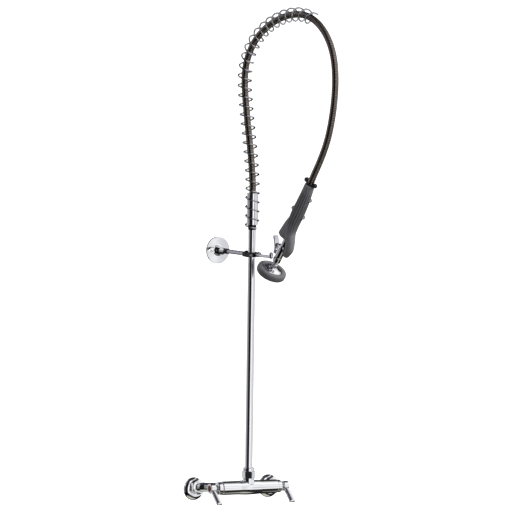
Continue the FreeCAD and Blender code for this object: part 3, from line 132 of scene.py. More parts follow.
# %% The hose's control points, the same as in the CAD source, in metres
HOSE_ROUTE = [
    (0.0, 0.640), (0.0, 0.672), (0.0004, 0.704), (-0.0035, 0.742), (-0.0095, 0.786), (-0.0175, 0.832),
    (-0.025, 0.878), (-0.0315, 0.925), (-0.032, 0.965), (-0.022, 1.003), (0.001, 1.040),
    (0.035, 1.070), (0.078, 1.093), (0.125, 1.1065), (0.172, 1.107), (0.213, 1.090),
    (0.246, 1.057), (0.266, 1.014), (0.272, 0.966), (0.270, 0.918), (0.262, 0.868),
    (0.248, 0.818), (0.225, 0.771), (0.1997, 0.7301), (0.18062, 0.69274),
]


def curve_points(name, places):
    """Points along one open NURBS spline of order 3 that has these places as its control points."""
    curve = bpy.data.curves.new(name, "CURVE")
    curve.dimensions = "3D"
    curve.resolution_u = 24
    spline = curve.splines.new("NURBS")
    spline.points.add(len(places) - 1)
    spline.points.foreach_set("co", np.column_stack([places, np.ones(len(places))]).ravel())
    spline.order_u = 3
    spline.use_endpoint_u = True
    holder = bpy.data.objects.new(name, curve)
    mesh = bpy.data.meshes.new_from_object(holder)
    line = np.zeros(len(mesh.vertices) * 3)
    mesh.vertices.foreach_get("co", line)
    bpy.data.objects.remove(holder)
    bpy.data.curves.remove(curve)
    bpy.data.meshes.remove(mesh)
    return line.reshape(-1, 3)


def running_length(line):
    """How far along the line each of its points is."""
    return np.concatenate([[0.0], np.cumsum(np.linalg.norm(np.diff(line, axis=0), axis=1))])


def evenly(line, step):
    """The line again, with points a fixed step apart: each coordinate interpolated over the length."""
    length = running_length(line)
    stops = np.linspace(0.0, length[-1], max(2, round(length[-1] / step) + 1))
    return np.column_stack([np.interp(stops, length, line[:, axis]) for axis in range(3)])


hose_line = curve_points("hose_line", in_arch(np.array(HOSE_ROUTE) / MM) * MM) / MM
print("hose line", round(running_length(hose_line)[-1], 1), "mm in", len(hose_line), "points")

# %% [markdown]
# ## Surfaces from grids
# Every new piece is a grid of points: rows along it and columns round it. A grid becomes a closed shell
# when its columns join up and each end is closed, either by a fan to one pole or by joining the last
# row to the first. The shell's signed volume says whether its faces look outwards.

# %% Shells and pieces
def shell(points, poles=None):
    """Points, four-sided faces and three-sided faces of a closed shell from a (rows, columns) grid.

    The columns always join up. Without poles the last row joins the first, as on a ring. With a pair
    of poles each end is closed by a fan; a pole of None is the middle of its row.
    """
    points = np.asarray(points, float)
    rows, columns = points.shape[:2]
    ring = np.arange(rows) if poles is None else np.arange(rows - 1)
    row, column = np.meshgrid(ring, np.arange(columns), indexing="ij")
    beyond, beside = (row + 1) % rows, (column + 1) % columns
    quads = np.stack([row * columns + column, row * columns + beside,
                      beyond * columns + beside, beyond * columns + column], axis=-1).reshape(-1, 4)
    places = points.reshape(-1, 3)
    fans = np.zeros((0, 3), int)
    if poles is not None:
        ends = [points[end].mean(axis=0) if pole is None else np.asarray(pole, float)
                for end, pole in zip((0, -1), poles)]
        places = np.vstack([places, ends])
        first, last = rows * columns, rows * columns + 1
        near = np.arange(columns)
        far = near + (rows - 1) * columns
        fans = np.vstack([
            np.column_stack([np.full(columns, first), (near + 1) % columns, near]),
            np.column_stack([np.full(columns, last), far, (near + 1) % columns + far[0]]),
        ])
    a, b, c, e = (places[quads[:, i]] for i in range(4))
    volume = (a * np.cross(b, c)).sum() + (a * np.cross(c, e)).sum()
    p, q, r = (places[fans[:, i]] for i in range(3))
    volume += (p * np.cross(q, r)).sum()
    if volume < 0:
        quads, fans = quads[:, ::-1], fans[:, ::-1]
    return places, quads, fans


def make_piece(name, shells, body, stands_for=(), sharp=34.0, marks=None):
    """One mesh object from closed shells given in millimetres, riding on a CAD body."""
    places, corners, sizes, count = [], [], [], 0
    for points, quads, fans in shells:
        places.append(points)
        corners += [(quads + count).ravel(), (fans + count).ravel()]
        sizes += [np.full(len(quads), 4), np.full(len(fans), 3)]
        count += len(points)
    places, corners, sizes = np.vstack(places) * MM, np.concatenate(corners), np.concatenate(sizes)
    mesh = bpy.data.meshes.new(name)
    mesh.vertices.add(len(places))
    mesh.vertices.foreach_set("co", places.ravel())
    mesh.loops.add(len(corners))
    mesh.loops.foreach_set("vertex_index", corners.astype(np.int32))
    mesh.polygons.add(len(sizes))
    mesh.polygons.foreach_set("loop_start", np.concatenate([[0], np.cumsum(sizes)[:-1]]).astype(np.int32))
    mesh.polygons.foreach_set("use_smooth", np.ones(len(sizes), bool))
    for mark, values in (marks or {}).items():
        mesh.attributes.new(mark, "FLOAT", "POINT").data.foreach_set("value", values.ravel())
    mesh.update(calc_edges=True)
    mesh.validate()
    mesh.set_sharp_from_angle(angle=math.radians(sharp))
    piece = bpy.data.objects.new(name, mesh)
    bpy.context.scene.collection.objects.link(piece)
    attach(piece, body)
    if stands_for:
        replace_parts(piece, *stands_for)
    print(f"{name}: {len(sizes)} faces, {len(shells)} shell(s)")
    return piece


# %% Profiles and paths
MOST_REACH = 0.42    # a rounding takes at most this share of the shorter side
HOLD = 0.12          # how far outside a rounding the extra point lies, as a share of its reach


def soften(corners, radius, closed=False, steps=5):
    """The same outline with each corner rounded.

    A corner C between A and B becomes the curve (1-t)^2 P + 2t(1-t) C + t^2 Q, where P and Q lie on
    the two sides at the rounding's reach. One more point just outside each end keeps the sides flat.
    """
    corners = np.asarray(corners, float)
    inner = corners if closed else corners[1:-1]
    before = np.roll(corners, 1, axis=0) if closed else corners[:-2]
    after = np.roll(corners, -1, axis=0) if closed else corners[2:]
    towards_a, towards_b = before - inner, after - inner
    long_a = np.linalg.norm(towards_a, axis=1, keepdims=True)
    long_b = np.linalg.norm(towards_b, axis=1, keepdims=True)
    reach = np.minimum(np.broadcast_to(np.asarray(radius, float).reshape(-1, 1), long_a.shape),
                       MOST_REACH * np.minimum(long_a, long_b))
    start = inner + towards_a / long_a * reach
    end = inner + towards_b / long_b * reach
    t = np.linspace(0.0, 1.0, steps)[None, :, None]
    arc = ((1 - t) ** 2 * start[:, None] + 2 * t * (1 - t) * inner[:, None] + t ** 2 * end[:, None])
    hold = HOLD * reach
    arc = np.concatenate([(start + towards_a / long_a * hold)[:, None], arc,
                          (end + towards_b / long_b * hold)[:, None]], axis=1)
    arc = arc.reshape(-1, corners.shape[1])
    return arc if closed else np.vstack([corners[:1], arc, corners[-1:]])


def axes_at(origin, along, aside):
    """An origin and three unit directions: aside made square to along, their cross, and along."""
    along = np.asarray(along, float) / np.linalg.norm(along)
    aside = np.asarray(aside, float) - np.dot(aside, along) * along
    aside = aside / np.linalg.norm(aside)
    return np.asarray(origin, float), aside, np.cross(along, aside), along


def revolve(profile, axes, around=72):
    """A shell of revolution: a profile of (radius, height) turned about the third direction.

    Each point is origin + radius (cos a X + sin a Y) + height Z. A profile that starts and ends on
    the axis closes at two poles; any other profile is a closed ring.
    """
    profile = np.asarray(profile, float)
    origin, x, y, z = axes
    solid = profile[0, 0] < 1e-6 and profile[-1, 0] < 1e-6
    body = profile[1:-1] if solid else profile
    turn = np.arange(around) * 2 * np.pi / around
    spokes = np.cos(turn)[:, None] * x + np.sin(turn)[:, None] * y
    grid = origin + body[:, None, :1] * spokes[None] + body[:, None, 1:2] * z
    poles = (origin + profile[0, 1] * z, origin + profile[-1, 1] * z) if solid else None
    return shell(grid, poles)


def tangents(line):
    """Unit directions along a line, from the difference of each point's neighbours."""
    steps = np.gradient(line, axis=0)
    return steps / np.linalg.norm(steps, axis=1, keepdims=True)


def section_axes(line, aside):
    """For each point of a line, two unit directions square to it; the first leans towards aside."""
    along = tangents(line)
    aside = np.broadcast_to(aside, line.shape)
    first = aside - (aside * along).sum(axis=1, keepdims=True) * along
    first /= np.linalg.norm(first, axis=1, keepdims=True)
    return first, np.cross(along, first)


def carry(line, wide, thick=None, aside=ACROSS, around=24, power=2.0):
    """A shell whose section is carried along a line.

    The section is a superellipse: x = wide |cos a|^(2/power), y = thick |sin a|^(2/power), each with
    the sign of its cosine or sine. Power 2 is an ellipse, and 4 and over is a rounded rectangle.
    """
    wide = np.broadcast_to(wide, len(line))
    thick = wide if thick is None else np.broadcast_to(thick, len(line))
    first, second = section_axes(line, aside)
    turn = np.arange(around) * 2 * np.pi / around
    across = np.sign(np.cos(turn)) * np.abs(np.cos(turn)) ** (2 / power)
    updown = np.sign(np.sin(turn)) * np.abs(np.sin(turn)) ** (2 / power)
    grid = (line[:, None] + (wide[:, None] * across)[..., None] * first[:, None]
            + (thick[:, None] * updown)[..., None] * second[:, None])
    return shell(grid, (None, None))


def through(stations, count):
    """A smooth run of values through the stations: Catmull-Rom, a cubic that meets each station."""
    stations = np.asarray(stations, float)
    padded = np.vstack([2 * stations[0] - stations[1], stations, 2 * stations[-1] - stations[-2]])
    place = np.linspace(0, len(stations) - 1, count)
    base = np.minimum(place.astype(int), len(stations) - 2)
    t = (place - base)[:, None]
    a, b, c, e = (padded[base + shift] for shift in range(4))
    return 0.5 * (2 * b + (c - a) * t + (2 * a - 5 * b + 4 * c - e) * t ** 2
                  + (3 * b - a - 3 * c + e) * t ** 3)


def slab(outline, low, high, axes, edge=0.6, middle=None, steps=4):
    """A flat piece with eased edges: an outline in the first and third directions, and its
    thickness from low to high along the second. Near each face the outline moves in by
    edge (1 - sin a) as the height moves by edge (1 - cos a), which rounds the rim."""
    outline = np.asarray(outline, float)
    origin, x, y, z = axes
    ahead = np.roll(outline, -1, axis=0) - np.roll(outline, 1, axis=0)
    normal = np.column_stack([ahead[:, 1], -ahead[:, 0]])
    normal /= np.linalg.norm(normal, axis=1, keepdims=True)
    area = (outline[:, 0] * np.roll(outline[:, 1], -1)
            - outline[:, 1] * np.roll(outline[:, 0], -1)).sum()
    normal *= np.sign(area)
    a = np.linspace(0.0, np.pi / 2, steps)
    inset = np.concatenate([edge * (1 - np.sin(a)), edge * (1 - np.sin(a[::-1]))])
    height = np.concatenate([low + edge * (1 - np.cos(a)), high - edge * (1 - np.cos(a[::-1]))])
    flat = outline[None] - normal[None] * inset[:, None, None]
    grid = (origin + flat[..., :1] * x + height[:, None, None] * y + flat[..., 1:2] * z)
    if middle is None:
        middle = outline.mean(axis=0)
    poles = [origin + middle[0] * x + level * y + middle[1] * z for level in (low, high)]
    return shell(grid, poles)


# %% [markdown]
# ## Hose
# The hose is interlocked steel strip wound round an inner tube. Its wall is a plain round tube with one
# shallow groove that runs round it like a screw thread. The real strip is about 3 mm wide; it is drawn
# 4 mm wide so that the grooves show. A mark on each point says how deep in the groove it is, and painted
# shade darkens the colour there.

# %% Hose tube
HOSE_D = 16.0
STRIP = 4.0


def armour(line, radius, strip, depth=0.55, width=0.17, around=24, rows_per_strip=7):
    """A tube with a screw-like groove: radius - depth exp(-(p / width)^2), where p is how far the
    point is from the groove, counted as length / strip + angle / one turn, wrapped to one strip."""
    rows = evenly(line, strip / rows_per_strip)
    length = running_length(rows)
    turn = np.arange(around) * 2 * np.pi / around
    phase = (length[:, None] / strip + turn[None] / (2 * np.pi)) % 1.0
    groove = np.exp(-(np.minimum(phase, 1 - phase) / width) ** 2)
    first, second = section_axes(rows, ACROSS)
    reach = radius - depth * groove
    grid = (rows[:, None] + (reach * np.cos(turn))[..., None] * first[:, None]
            + (reach * np.sin(turn))[..., None] * second[:, None])
    return shell(grid, (None, None)), np.concatenate([groove.ravel(), [0.0, 0.0]])


hose_shell, hose_groove = armour(hose_line, HOSE_D / 2, STRIP)
hose = make_piece("armoured_hose", [hose_shell], "root", ["hose"], marks={"groove": hose_groove})

# %% [markdown]
# ## Overhead spring
# A long open-wound spring stands on the riser's head and carries the hose in its arch, so the sprayer
# always springs back up. Its wire is a helix about the hose's own line, and its loops open a little
# towards the far end. It ends part of the way down the far side, where it holds the hose by itself.

# %% Spring wire
SPRING_OD, WIRE, FIRST_PITCH, LAST_PITCH, SPRING_LENGTH = 34.4, 3.9, 21.0, 23.6, 660.0
SPRING_FOOT = 602.95                      # its height over the riser's foot


def coil(line, radius, first, last, length, wire, per_turn=36, around=12):
    """A round wire carried along a helix: centre + radius (cos a N - sin a ACROSS), where N is square
    to the line in the arch's plane. The pitch p grows evenly with the length s, so after n turns
    s = first / k (exp(k n) - 1), with k = (last - first) / length."""
    growth = (last - first) / length
    turns = np.arange(0.0, np.log(last / first) / growth, 1 / per_turn)
    stops = first / growth * (np.exp(growth * turns) - 1)
    along = running_length(line)
    centres = np.column_stack([np.interp(stops, along, line[:, axis]) for axis in range(3)])
    angle = np.pi + 2 * np.pi * turns
    normal = np.cross(ACROSS, tangents(centres))
    spoke = np.cos(angle)[:, None] * normal - np.sin(angle)[:, None] * ACROSS
    print("spring turns", round(turns[-1], 1))
    return carry(centres + radius * spoke, wire / 2, aside=spoke, around=around)


spring_line = np.vstack([in_arch([(0.0, SPRING_FOOT)]), hose_line])
spring = make_piece("carrying_spring", [coil(spring_line, (SPRING_OD - WIRE) / 2, FIRST_PITCH,
                                             LAST_PITCH, SPRING_LENGTH, WIRE)],
                    "root", ["overhead_spring"])

# %% [markdown]
# ## Riser
# The riser is a drawn brass pipe, plated, held to the body by a union nut. Its head carries a small
# dark dome nut and a plated sleeve, which hides the hose's crimped tail. All of them are turned parts,
# so each is a profile of radius against height, spun about the riser's line.

# %% Riser pipe, sleeve and head
upright = axes_at(RISER, UP, [1, 0, 0])


def tube_profile(inner, outer, low, high):
    """The four corners of a tube's wall."""
    return [(inner, low), (outer, low), (outer, high), (inner, high)]


make_piece("riser_tube", [
    revolve(soften(tube_profile(6.25, 8.55, 33.0, 601.0), 0.4, closed=True), upright, 96)],
    "root", ["riser_pipe"])
make_piece("dome_nut", [revolve(soften([
    (8.6, 599.5), (9.0, 599.5), (9.3, 602.5), (9.85, 606.0), (9.85, 611.0), (8.6, 611.0)],
    [0.1, 0.15, 3.0, 2.0, 0.4, 0.1], closed=True), upright)], "root", ["riser_head_nut"])
make_piece("hose_sleeve", [revolve(soften([
    (11.7, 617.0), (9.6, 617.0), (9.6, 611.1), (12.9, 611.1), (12.9, 685.1), (10.0, 685.1),
    (10.0, 683.9), (11.7, 683.9)], [0.3, 0.3, 0.3, 0.4, 1.2, 0.3, 0.3, 0.3], closed=True),
    upright, 96)], "root", ["spring_sleeve"])

# %% [markdown]
# ## Nuts
# A real hexagon nut is chamfered: a cone cuts its corners, which leaves the curved lines that catch the
# light. The surface is the lesser of two distances, the hexagon's and the cone's.

# %% Hexagon nuts
def hex_nut(flats, low, high, axes, around=96):
    """A chamfered hexagon bar: at angle a and height h the radius is the lesser of the hexagon's,
    flats / 2 / cos(a within a sixth of a turn), and a 30 degree cone's that starts inside each face."""
    corner = flats / 2 / math.cos(math.pi / 6)
    start, slope = flats / 2 * 0.96, math.tan(math.radians(30))
    deep = (corner - start) * slope * 1.05
    rise = np.linspace(0.0, deep, 8)
    height = np.concatenate([low + rise, high - rise[::-1]])
    turn = np.arange(around) * 2 * np.pi / around
    sixth = (turn + np.pi / 6) % (np.pi / 3) - np.pi / 6
    hexagon = flats / 2 / np.cos(sixth)
    inside = np.minimum(height - low, high - height)
    cone = start + inside / slope
    reach = np.minimum(hexagon[None], cone[:, None])
    origin, x, y, z = axes
    spokes = np.cos(turn)[:, None] * x + np.sin(turn)[:, None] * y
    grid = origin + reach[..., None] * spokes[None] + height[:, None, None] * z
    return shell(grid, (None, None))


make_piece("riser_union_nut", [
    hex_nut(28.0, 21.2, 38.1, upright),
    revolve(soften([(0, 37.0), (13.0, 37.0), (13.0, 44.5), (11.6, 46.0), (0, 46.0)], 0.7), upright)],
    "root", ["riser_nut"])
to_wall = np.array([0.0, 1.0, 0.0])
from_wall = -to_wall
for side, word in ((-1, "left"), (1, "right")):
    inlet = axes_at([side * INLET_X, 0.0, RISER[2]], from_wall, [1, 0, 0])
    make_piece(f"union_nut_{word}", [hex_nut(32.0, 14.0, 28.4, inlet)], "root", [f"coupling_nut_{word}"])

# %% [markdown]
# ## Wall flanges
# A pressed brass dome hides each hole in the wall. Nearly a quarter of an ellipse is close to the curve:
# steep at the wall, flat at the front.

# %% Escutcheon domes
t = np.linspace(0.0, 0.46 * np.pi, 22)
HOLE_R = 15.05                            # the hole that the coupling comes out of
dome_out = np.column_stack([HOLE_R + 11.7 * np.cos(t), 11.0 * np.sin(t)])
dome_in = np.column_stack([HOLE_R + 10.2 * np.cos(t), 9.4 * np.sin(t)])[::-1]
dome = np.vstack([dome_out, [(15.3, 10.95), (HOLE_R, 10.7), (HOLE_R, 9.4)], dome_in])
for side, word in ((-1, "left"), (1, "right")):
    wall_inlet = axes_at([side * INLET_X, 0.0, 0.0], from_wall, [1, 0, 0])
    make_piece(f"wall_dome_{word}", [revolve(dome, wall_inlet, 96)], "root", [f"inlet_flange_{word}"])

# %% [markdown]
# ## Mixer body
# The body is one brass casting: a barrel that swells in the middle, two arms that turn from the wall
# and run into its back, and a boss for the riser. The arms are round sections carried along a bent
# line, and they thicken at their roots, as a casting does so that the metal flows.

# %% Body casting
along_x = axes_at(RISER, [1, 0, 0], to_wall)
BODY_R, SWELL, SWELL_HALF = 16.0, 1.2, 30.0    # the barrel's radius, how far it swells, and where
half_barrel = [(BODY_R, SWELL_HALF), (BODY_R, 74.0), (15.0, 75.0), (12.0, 75.0), (12.0, 80.8), (0.0, 81.0)]
swell = np.linspace(-SWELL_HALF, SWELL_HALF, 41)
swell_profile = np.column_stack([BODY_R + SWELL * np.cos(swell / SWELL_HALF * np.pi / 2) ** 1.2, swell])
right_end = soften(half_barrel, 0.8)[1:]
left_end = (right_end * [1, -1])[::-1]
barrel_profile = np.vstack([left_end, swell_profile, right_end])
casting = [revolve(barrel_profile, along_x, 96)]
ARM_R, FLARE, FLARE_LENGTH = 10.5, 3.6, 12.0    # the arm's radius, and how it thickens at its root
for side in (-1, 1):
    bend = soften([(side * INLET_X, -22.5), (side * INLET_X, -36.0), (side * 45.0, -66.0),
                   (side * 34.0, -72.0)], 12.0, steps=14)
    bend = evenly(np.column_stack([bend, np.full(len(bend), RISER[2])]), 1.2)
    left_over = running_length(bend)[-1] - running_length(bend)
    flare = ARM_R + FLARE * np.exp(-left_over / FLARE_LENGTH)
    casting.append(carry(bend, flare, aside=UP, around=48))
    inlet = axes_at([side * INLET_X, 0.0, RISER[2]], from_wall, [1, 0, 0])
    casting.append(revolve(soften([(0, 22.6), (12.2, 22.6), (12.2, 25.0), (0, 25.0)], 0.4), inlet))
boss = soften([(0, 0.0), (17.0, 8.0), (14.6, 14.5), (13.5, 17.5), (13.5, 21.0), (10.4, 21.1),
               (10.4, 30.8), (0, 31.0)], [2.0, 3.0, 2.0, 0.6, 0.3, 0.4])
casting.append(revolve(boss, upright))
make_piece("body_casting", casting, "root", ["mixer_body"])

# %% [markdown]
# ## Valves and handles
# Behind each handle a turned bonnet holds the cartridge. The handle is a forged lever: a round hub with
# a blade that widens and thins towards its tip. A coloured button caps it, red for hot on the left and
# blue for cold on the right.

# %% Bonnets, handles and buttons
BLADE_START, BLADE_LENGTH, TIP_ROUND = 3.0, 50.0, 3.5    # all measured out from the hub's axis
handle_tilt = math.radians(43.0)
blade_way = np.array([0.0, -math.cos(handle_tilt), -math.sin(handle_tilt)])
for side, word in ((-1, "left"), (1, "right")):
    outwards = axes_at(RISER, [side, 0, 0], to_wall)
    make_piece(f"bonnet_cap_{word}", [revolve(soften([
        (8.0, 75.1), (14.5, 75.1), (14.5, 84.6), (11.6, 86.8), (8.6, 87.6), (7.8, 89.0),
        (4.9, 89.0), (4.9, 80.0)], [0.3, 0.9, 1.2, 1.0, 0.8, 0.5, 0.3, 0.3], closed=True), outwards)],
        "root", [f"bonnet_{word}"])
    hub = revolve(soften([
        (0, 92.0), (10.4, 92.0), (11.5, 93.2), (11.5, 106.0), (7.55, 106.0), (7.55, 104.2),
        (0, 104.2)], [0.8, 0.8, 1.6, 0.5, 0.3]), outwards)
    reach = np.linspace(0.0, 1.0, 40)
    distance_out = BLADE_START + (BLADE_LENGTH - BLADE_START) * np.sin(reach * np.pi / 2)
    far = np.clip(distance_out / BLADE_LENGTH, 0, 1)
    into_tip = (distance_out - (BLADE_LENGTH - TIP_ROUND)) / TIP_ROUND
    round_off = np.sqrt(np.clip(1 - into_tip.clip(0, None) ** 2.6, 0.0, 1))
    half_wide = (6.4 + 1.55 * far ** 1.6) * (0.55 + 0.45 * round_off)
    half_thick = (4.4 - 0.7 * far) * (0.6 + 0.4 * round_off)
    blade_line = (RISER + np.array([side * 99.0, 0, 0])) + distance_out[:, None] * blade_way
    blade = carry(blade_line, half_wide, half_thick, aside=np.array([1.0, 0, 0]), around=40, power=3.4)
    make_piece(f"lever_handle_{word}", [hub, blade], f"handle_{word}", [f"handle_{word}"])
    cap_t = np.linspace(0.0, np.pi / 2, 8)
    button = np.vstack([[(0, 104.45), (7.3, 104.45), (7.5, 104.7)],
                        np.column_stack([7.5 * np.cos(cap_t), 106.0 + 0.9 * np.sin(cap_t)])])
    button[-1, 0] = 0.0
    make_piece(f"cap_button_{word}", [revolve(button, outwards, 48)], f"handle_{word}",
               [f"index_button_{word}"])

# %% [markdown]
# ## Wall bracket and finger hook
# A two-part clamp grips the riser. Its rod runs back to a flange on the wall, and a hooked rod runs
# forward for the sprayer to hang on. The clamp's halves are flat blocks with a round seat, so each is
# an outline with eased edges.

# %% Clamp, rod, collar and hook
CLAMP_Z, SEAT_R = 548.35, 8.6             # the clamp's height, and the round seat in its halves
clamp_middle = np.array([RISER[0], RISER[1], CLAMP_Z])
clamp_axes = (clamp_middle, np.array([1.0, 0, 0]), UP, to_wall)
seat = np.linspace(np.pi, 0.0, 17)
half_outline = np.vstack([
    soften([(-SEAT_R, 0.4), (-15.5, 0.4), (-15.5, 17.0), (15.5, 17.0), (15.5, 0.4), (SEAT_R, 0.4)], 1.5),
    np.column_stack([SEAT_R * np.cos(seat[::-1]), SEAT_R * np.sin(seat[::-1])])[1:-1]])
for word, way in (("front", -1), ("rear", 1)):
    outline = half_outline * [1, way]
    make_piece(f"clamp_{word}", [slab(outline, -5.25, 5.25, clamp_axes, 0.7, middle=(0, way * 13.0))],
               "root", [f"riser_clamp_{word}"])
rod_axes = axes_at(clamp_middle, to_wall, [1, 0, 0])
make_piece("wall_rod", [revolve(soften([(0, 10.1), (4.75, 10.1), (4.75, 146.3), (0, 146.3)], 0.5),
                                rod_axes, 48)], "root", ["bracket_rod"])
make_piece("rod_lock_nut", [hex_nut(14.0, 17.1, 26.1, rod_axes)], "root", ["rod_nut"])
make_piece("rod_stop_collar", [revolve(soften(
    tube_profile(4.8, 6.25, 105.4, 117.4), 0.5, closed=True), rod_axes, 48)], "root", ["rod_collar"])

hook_axes = axes_at(clamp_middle, from_wall, [1, 0, 0])
ball = np.linspace(-np.pi / 2, np.pi / 2, 13)


def capsule(radius, low, high):
    """A round-ended bar's profile: a half circle, a straight side and another half circle."""
    bottom, top = ball[ball <= 1e-9], ball[ball >= -1e-9]
    profile = np.vstack([np.column_stack([radius * np.cos(bottom), low + radius * np.sin(bottom)]),
                         np.column_stack([radius * np.cos(top), high + radius * np.sin(top)])])
    profile[[0, -1], 0] = 0.0
    return profile


nub_axes = axes_at([0.0, -110.0, CLAMP_Z], UP, [1, 0, 0])
tip_axes = axes_at([0.0, -165.0, CLAMP_Z], UP, [1, 0, 0])
make_piece("sprayer_hook", [
    revolve(soften([(0, 10.1), (3.25, 10.1), (3.25, 86.0), (0, 86.0)], 0.4), hook_axes, 36),
    revolve(capsule(2.275, 0.0, 7.0), nub_axes, 32), revolve(capsule(4.5, 0.0, 6.5), tip_axes, 36)],
    "root", ["finger_hook"])

# %% [markdown]
# ## Grip
# The moulded grip is a loft: round sections strung along a bent line, each with its own radius. Long
# shallow flutes run down it for wet hands, and three short beads stop the fingers. A web fills the
# angle under the thumb.

# %% Grip
GRIP_STATIONS = [(192.0, 715.0, 12.2), (181.6, 695.0, 13.4), (166.2, 668.0, 15.2), (150.5, 642.5, 15.8),
                 (138.0, 620.5, 14.4), (130.0, 600.0, 12.4), (129.0, 579.0, 11.2), (125.5, 561.0, 10.4),
                 (116.5, 549.5, 8.4)]     # out from the riser, height, radius
FLUTE_DEPTH = 0.10                        # as a share of the radius
NUB_TURN = 0.7                            # how far round the grip the finger stops' middles sit


def grip_shell(stations, rows=150, around=96, flutes=16):
    """A loft with flutes: the radius at angle a is r (1 - depth (1 - cos(flutes a)) / 2), and the
    depth fades out at both ends. The heel closes as part of a sphere."""
    run = through(stations, rows)
    line = in_arch(run[:, :2])
    radius = run[:, 2]
    along = tangents(line)
    close = np.linspace(0.0, 1.45, 12)[1:]
    heel = line[-1] + (radius[-1] * np.sin(close))[:, None] * along[-1]
    mouth = line[0] - along[0] * np.array([[0.0], [-0.25], [-0.8], [-1.6]])
    mouth_radius = radius[0] - np.array([1.4, 0.8, 0.25, 0.05])
    line = np.vstack([mouth, line[6:], heel])
    radius = np.concatenate([mouth_radius, radius[6:], radius[-1] * np.cos(close)])
    first, second = section_axes(line, ACROSS)
    share = running_length(line) / running_length(line)[-1]
    depth = FLUTE_DEPTH * np.clip((share - 0.06) / 0.08, 0, 1) * np.clip((0.72 - share) / 0.16, 0, 1)
    turn = np.arange(around) * 2 * np.pi / around
    reach = radius[:, None] * (1 - depth[:, None] * (1 - np.cos(flutes * turn)) / 2)
    grid = (line[:, None] + (reach * np.cos(turn))[..., None] * first[:, None]
            + (reach * np.sin(turn))[..., None] * second[:, None])
    hollow = (depth[:, None] / depth.max() * (1 - np.cos(flutes * turn)) / 2).ravel()
    return shell(grid, (None, None)), np.concatenate([hollow, [0.0, 0.0]])


def bead(out, height, radius, heading, middle, reach=0.68, thick=3.35, proud=1.1):
    """A short part ring on the grip: a ball's section carried along an arc round the grip's line;
    its radius is thick sqrt(1 - s^2), where s runs from -1 to 1 along the arc."""
    along = OUT * heading[0] + UP * heading[1]
    along = along / np.linalg.norm(along)
    side = np.cross(ACROSS, along)
    s = np.linspace(-0.995, 0.995, 25)
    turn = middle + s * reach
    centre = in_arch([(out, height)])[0]
    line = centre + (radius + proud) * (np.cos(turn)[:, None] * side + np.sin(turn)[:, None] * ACROSS)
    return carry(line, thick * np.sqrt(1 - s ** 2), aside=along, around=20)


grip_heading = (67.5, 132.0)
web_outline = soften([(145.0, 651.0), (118.0, 627.0), (95.0, 600.0), (101.0, 591.0), (126.0, 578.0),
                      (134.0, 600.0), (141.0, 625.0)], [6.0, 9.0, 3.0, 3.0, 4.0, 4.0, 4.0], closed=True)
arch_axes = (RISER, OUT, ACROSS, UP)
grip_body, flute = grip_shell(GRIP_STATIONS)
grip_shells = [
    grip_body, slab(web_outline, -7.4, 7.4, arch_axes, 1.6, middle=(121.0, 604.0)),
    bead(174.4, 682.4, 14.2, grip_heading, math.pi + NUB_TURN),
    bead(150.5, 642.5, 15.8, grip_heading, math.pi + NUB_TURN),
    bead(158.1, 654.9, 15.5, grip_heading, NUB_TURN)]
plain = sum(len(points) for points, _, _ in grip_shells[1:])
make_piece("moulded_grip", grip_shells, "root", ["grip"], sharp=50.0,
           marks={"flute": np.concatenate([flute, np.zeros(plain)])})

# %% [markdown]
# ## Sprayer
# Below the grip hangs the squeeze valve: a plated barrel with a domed back, a banded neck, a cup that
# holds the spray face, and a thick rubber bumper round it, which saves the dishes. All are turned about
# one tilted axis. The lever is a stamped strip on a pin.

# %% Valve barrel, neck, cup and bumper
VALVE_R, PLUNGER_UP = 9.5, 64.0           # the barrel's radius, and the plunger's place along it
tilt = math.radians(32.7)
spray_along = math.sin(tilt) * OUT + math.cos(tilt) * UP
to_riser = np.cross(ACROSS, spray_along)
spray_origin = in_arch([(68.0, 508.0)])[0]
spray_axes = axes_at(spray_origin, spray_along, to_riser)
dome_t = np.linspace(0.0, 0.66, 12)
barrel_side = soften([(0, 40.0), (VALVE_R, 40.0), (VALVE_R, 64.8)], 0.8)
back_dome = np.column_stack([VALVE_R * np.cos(dome_t), 65.0 + VALVE_R * np.sin(dome_t)])
neck_end = [(7.5, 72.0), (7.5, 91.8), (0, 91.8)]
plunger_axes = axes_at(spray_origin + PLUNGER_UP * spray_along, to_riser, spray_along)
lug_outline = soften([(6.0, 41.5), (17.0, 41.5), (17.0, 50.5), (6.0, 50.5)], [0.5, 4.2, 4.2, 0.5],
                     closed=True)
valve_plane = (spray_origin, to_riser, -ACROSS, spray_along)
make_piece("valve_barrel", [
    revolve(np.vstack([barrel_side, back_dome, neck_end]), spray_axes, 96),
    revolve(soften([(0, 4.0), (6.5, 4.0), (6.5, 10.4), (0, 10.4)], 0.5), plunger_axes, 48),
    slab(lug_outline, -3.0, 3.0, valve_plane, 0.4)], "root", ["valve_shell"])
make_piece("banded_neck", [revolve(soften([
    (4.0, 10.0), (6.5, 10.0), (6.5, 12.0), (7.5, 12.2), (7.5, 20.0), (5.5, 21.5), (5.5, 25.0),
    (9.5, 27.0), (9.5, 39.9), (4.0, 39.9)], [0.2, 0.3, 0.2, 0.5, 0.9, 0.7, 0.7, 1.2, 0.7, 0.2],
    closed=True), spray_axes)], "root", ["spray_neck"])
make_piece("spray_bell", [revolve(soften([
    (21.5, -3.5), (23.5, -3.5), (23.5, 4.0), (20.0, 7.0), (11.0, 9.5), (9.5, 12.0), (6.5, 12.0),
    (6.5, 9.0), (19.0, 4.6), (21.5, 2.5)], [0.4, 0.5, 2.2, 2.2, 1.6, 0.6, 0.4, 0.4, 1.5, 1.0],
    closed=True), spray_axes, 96)], "root", ["spray_cup"])
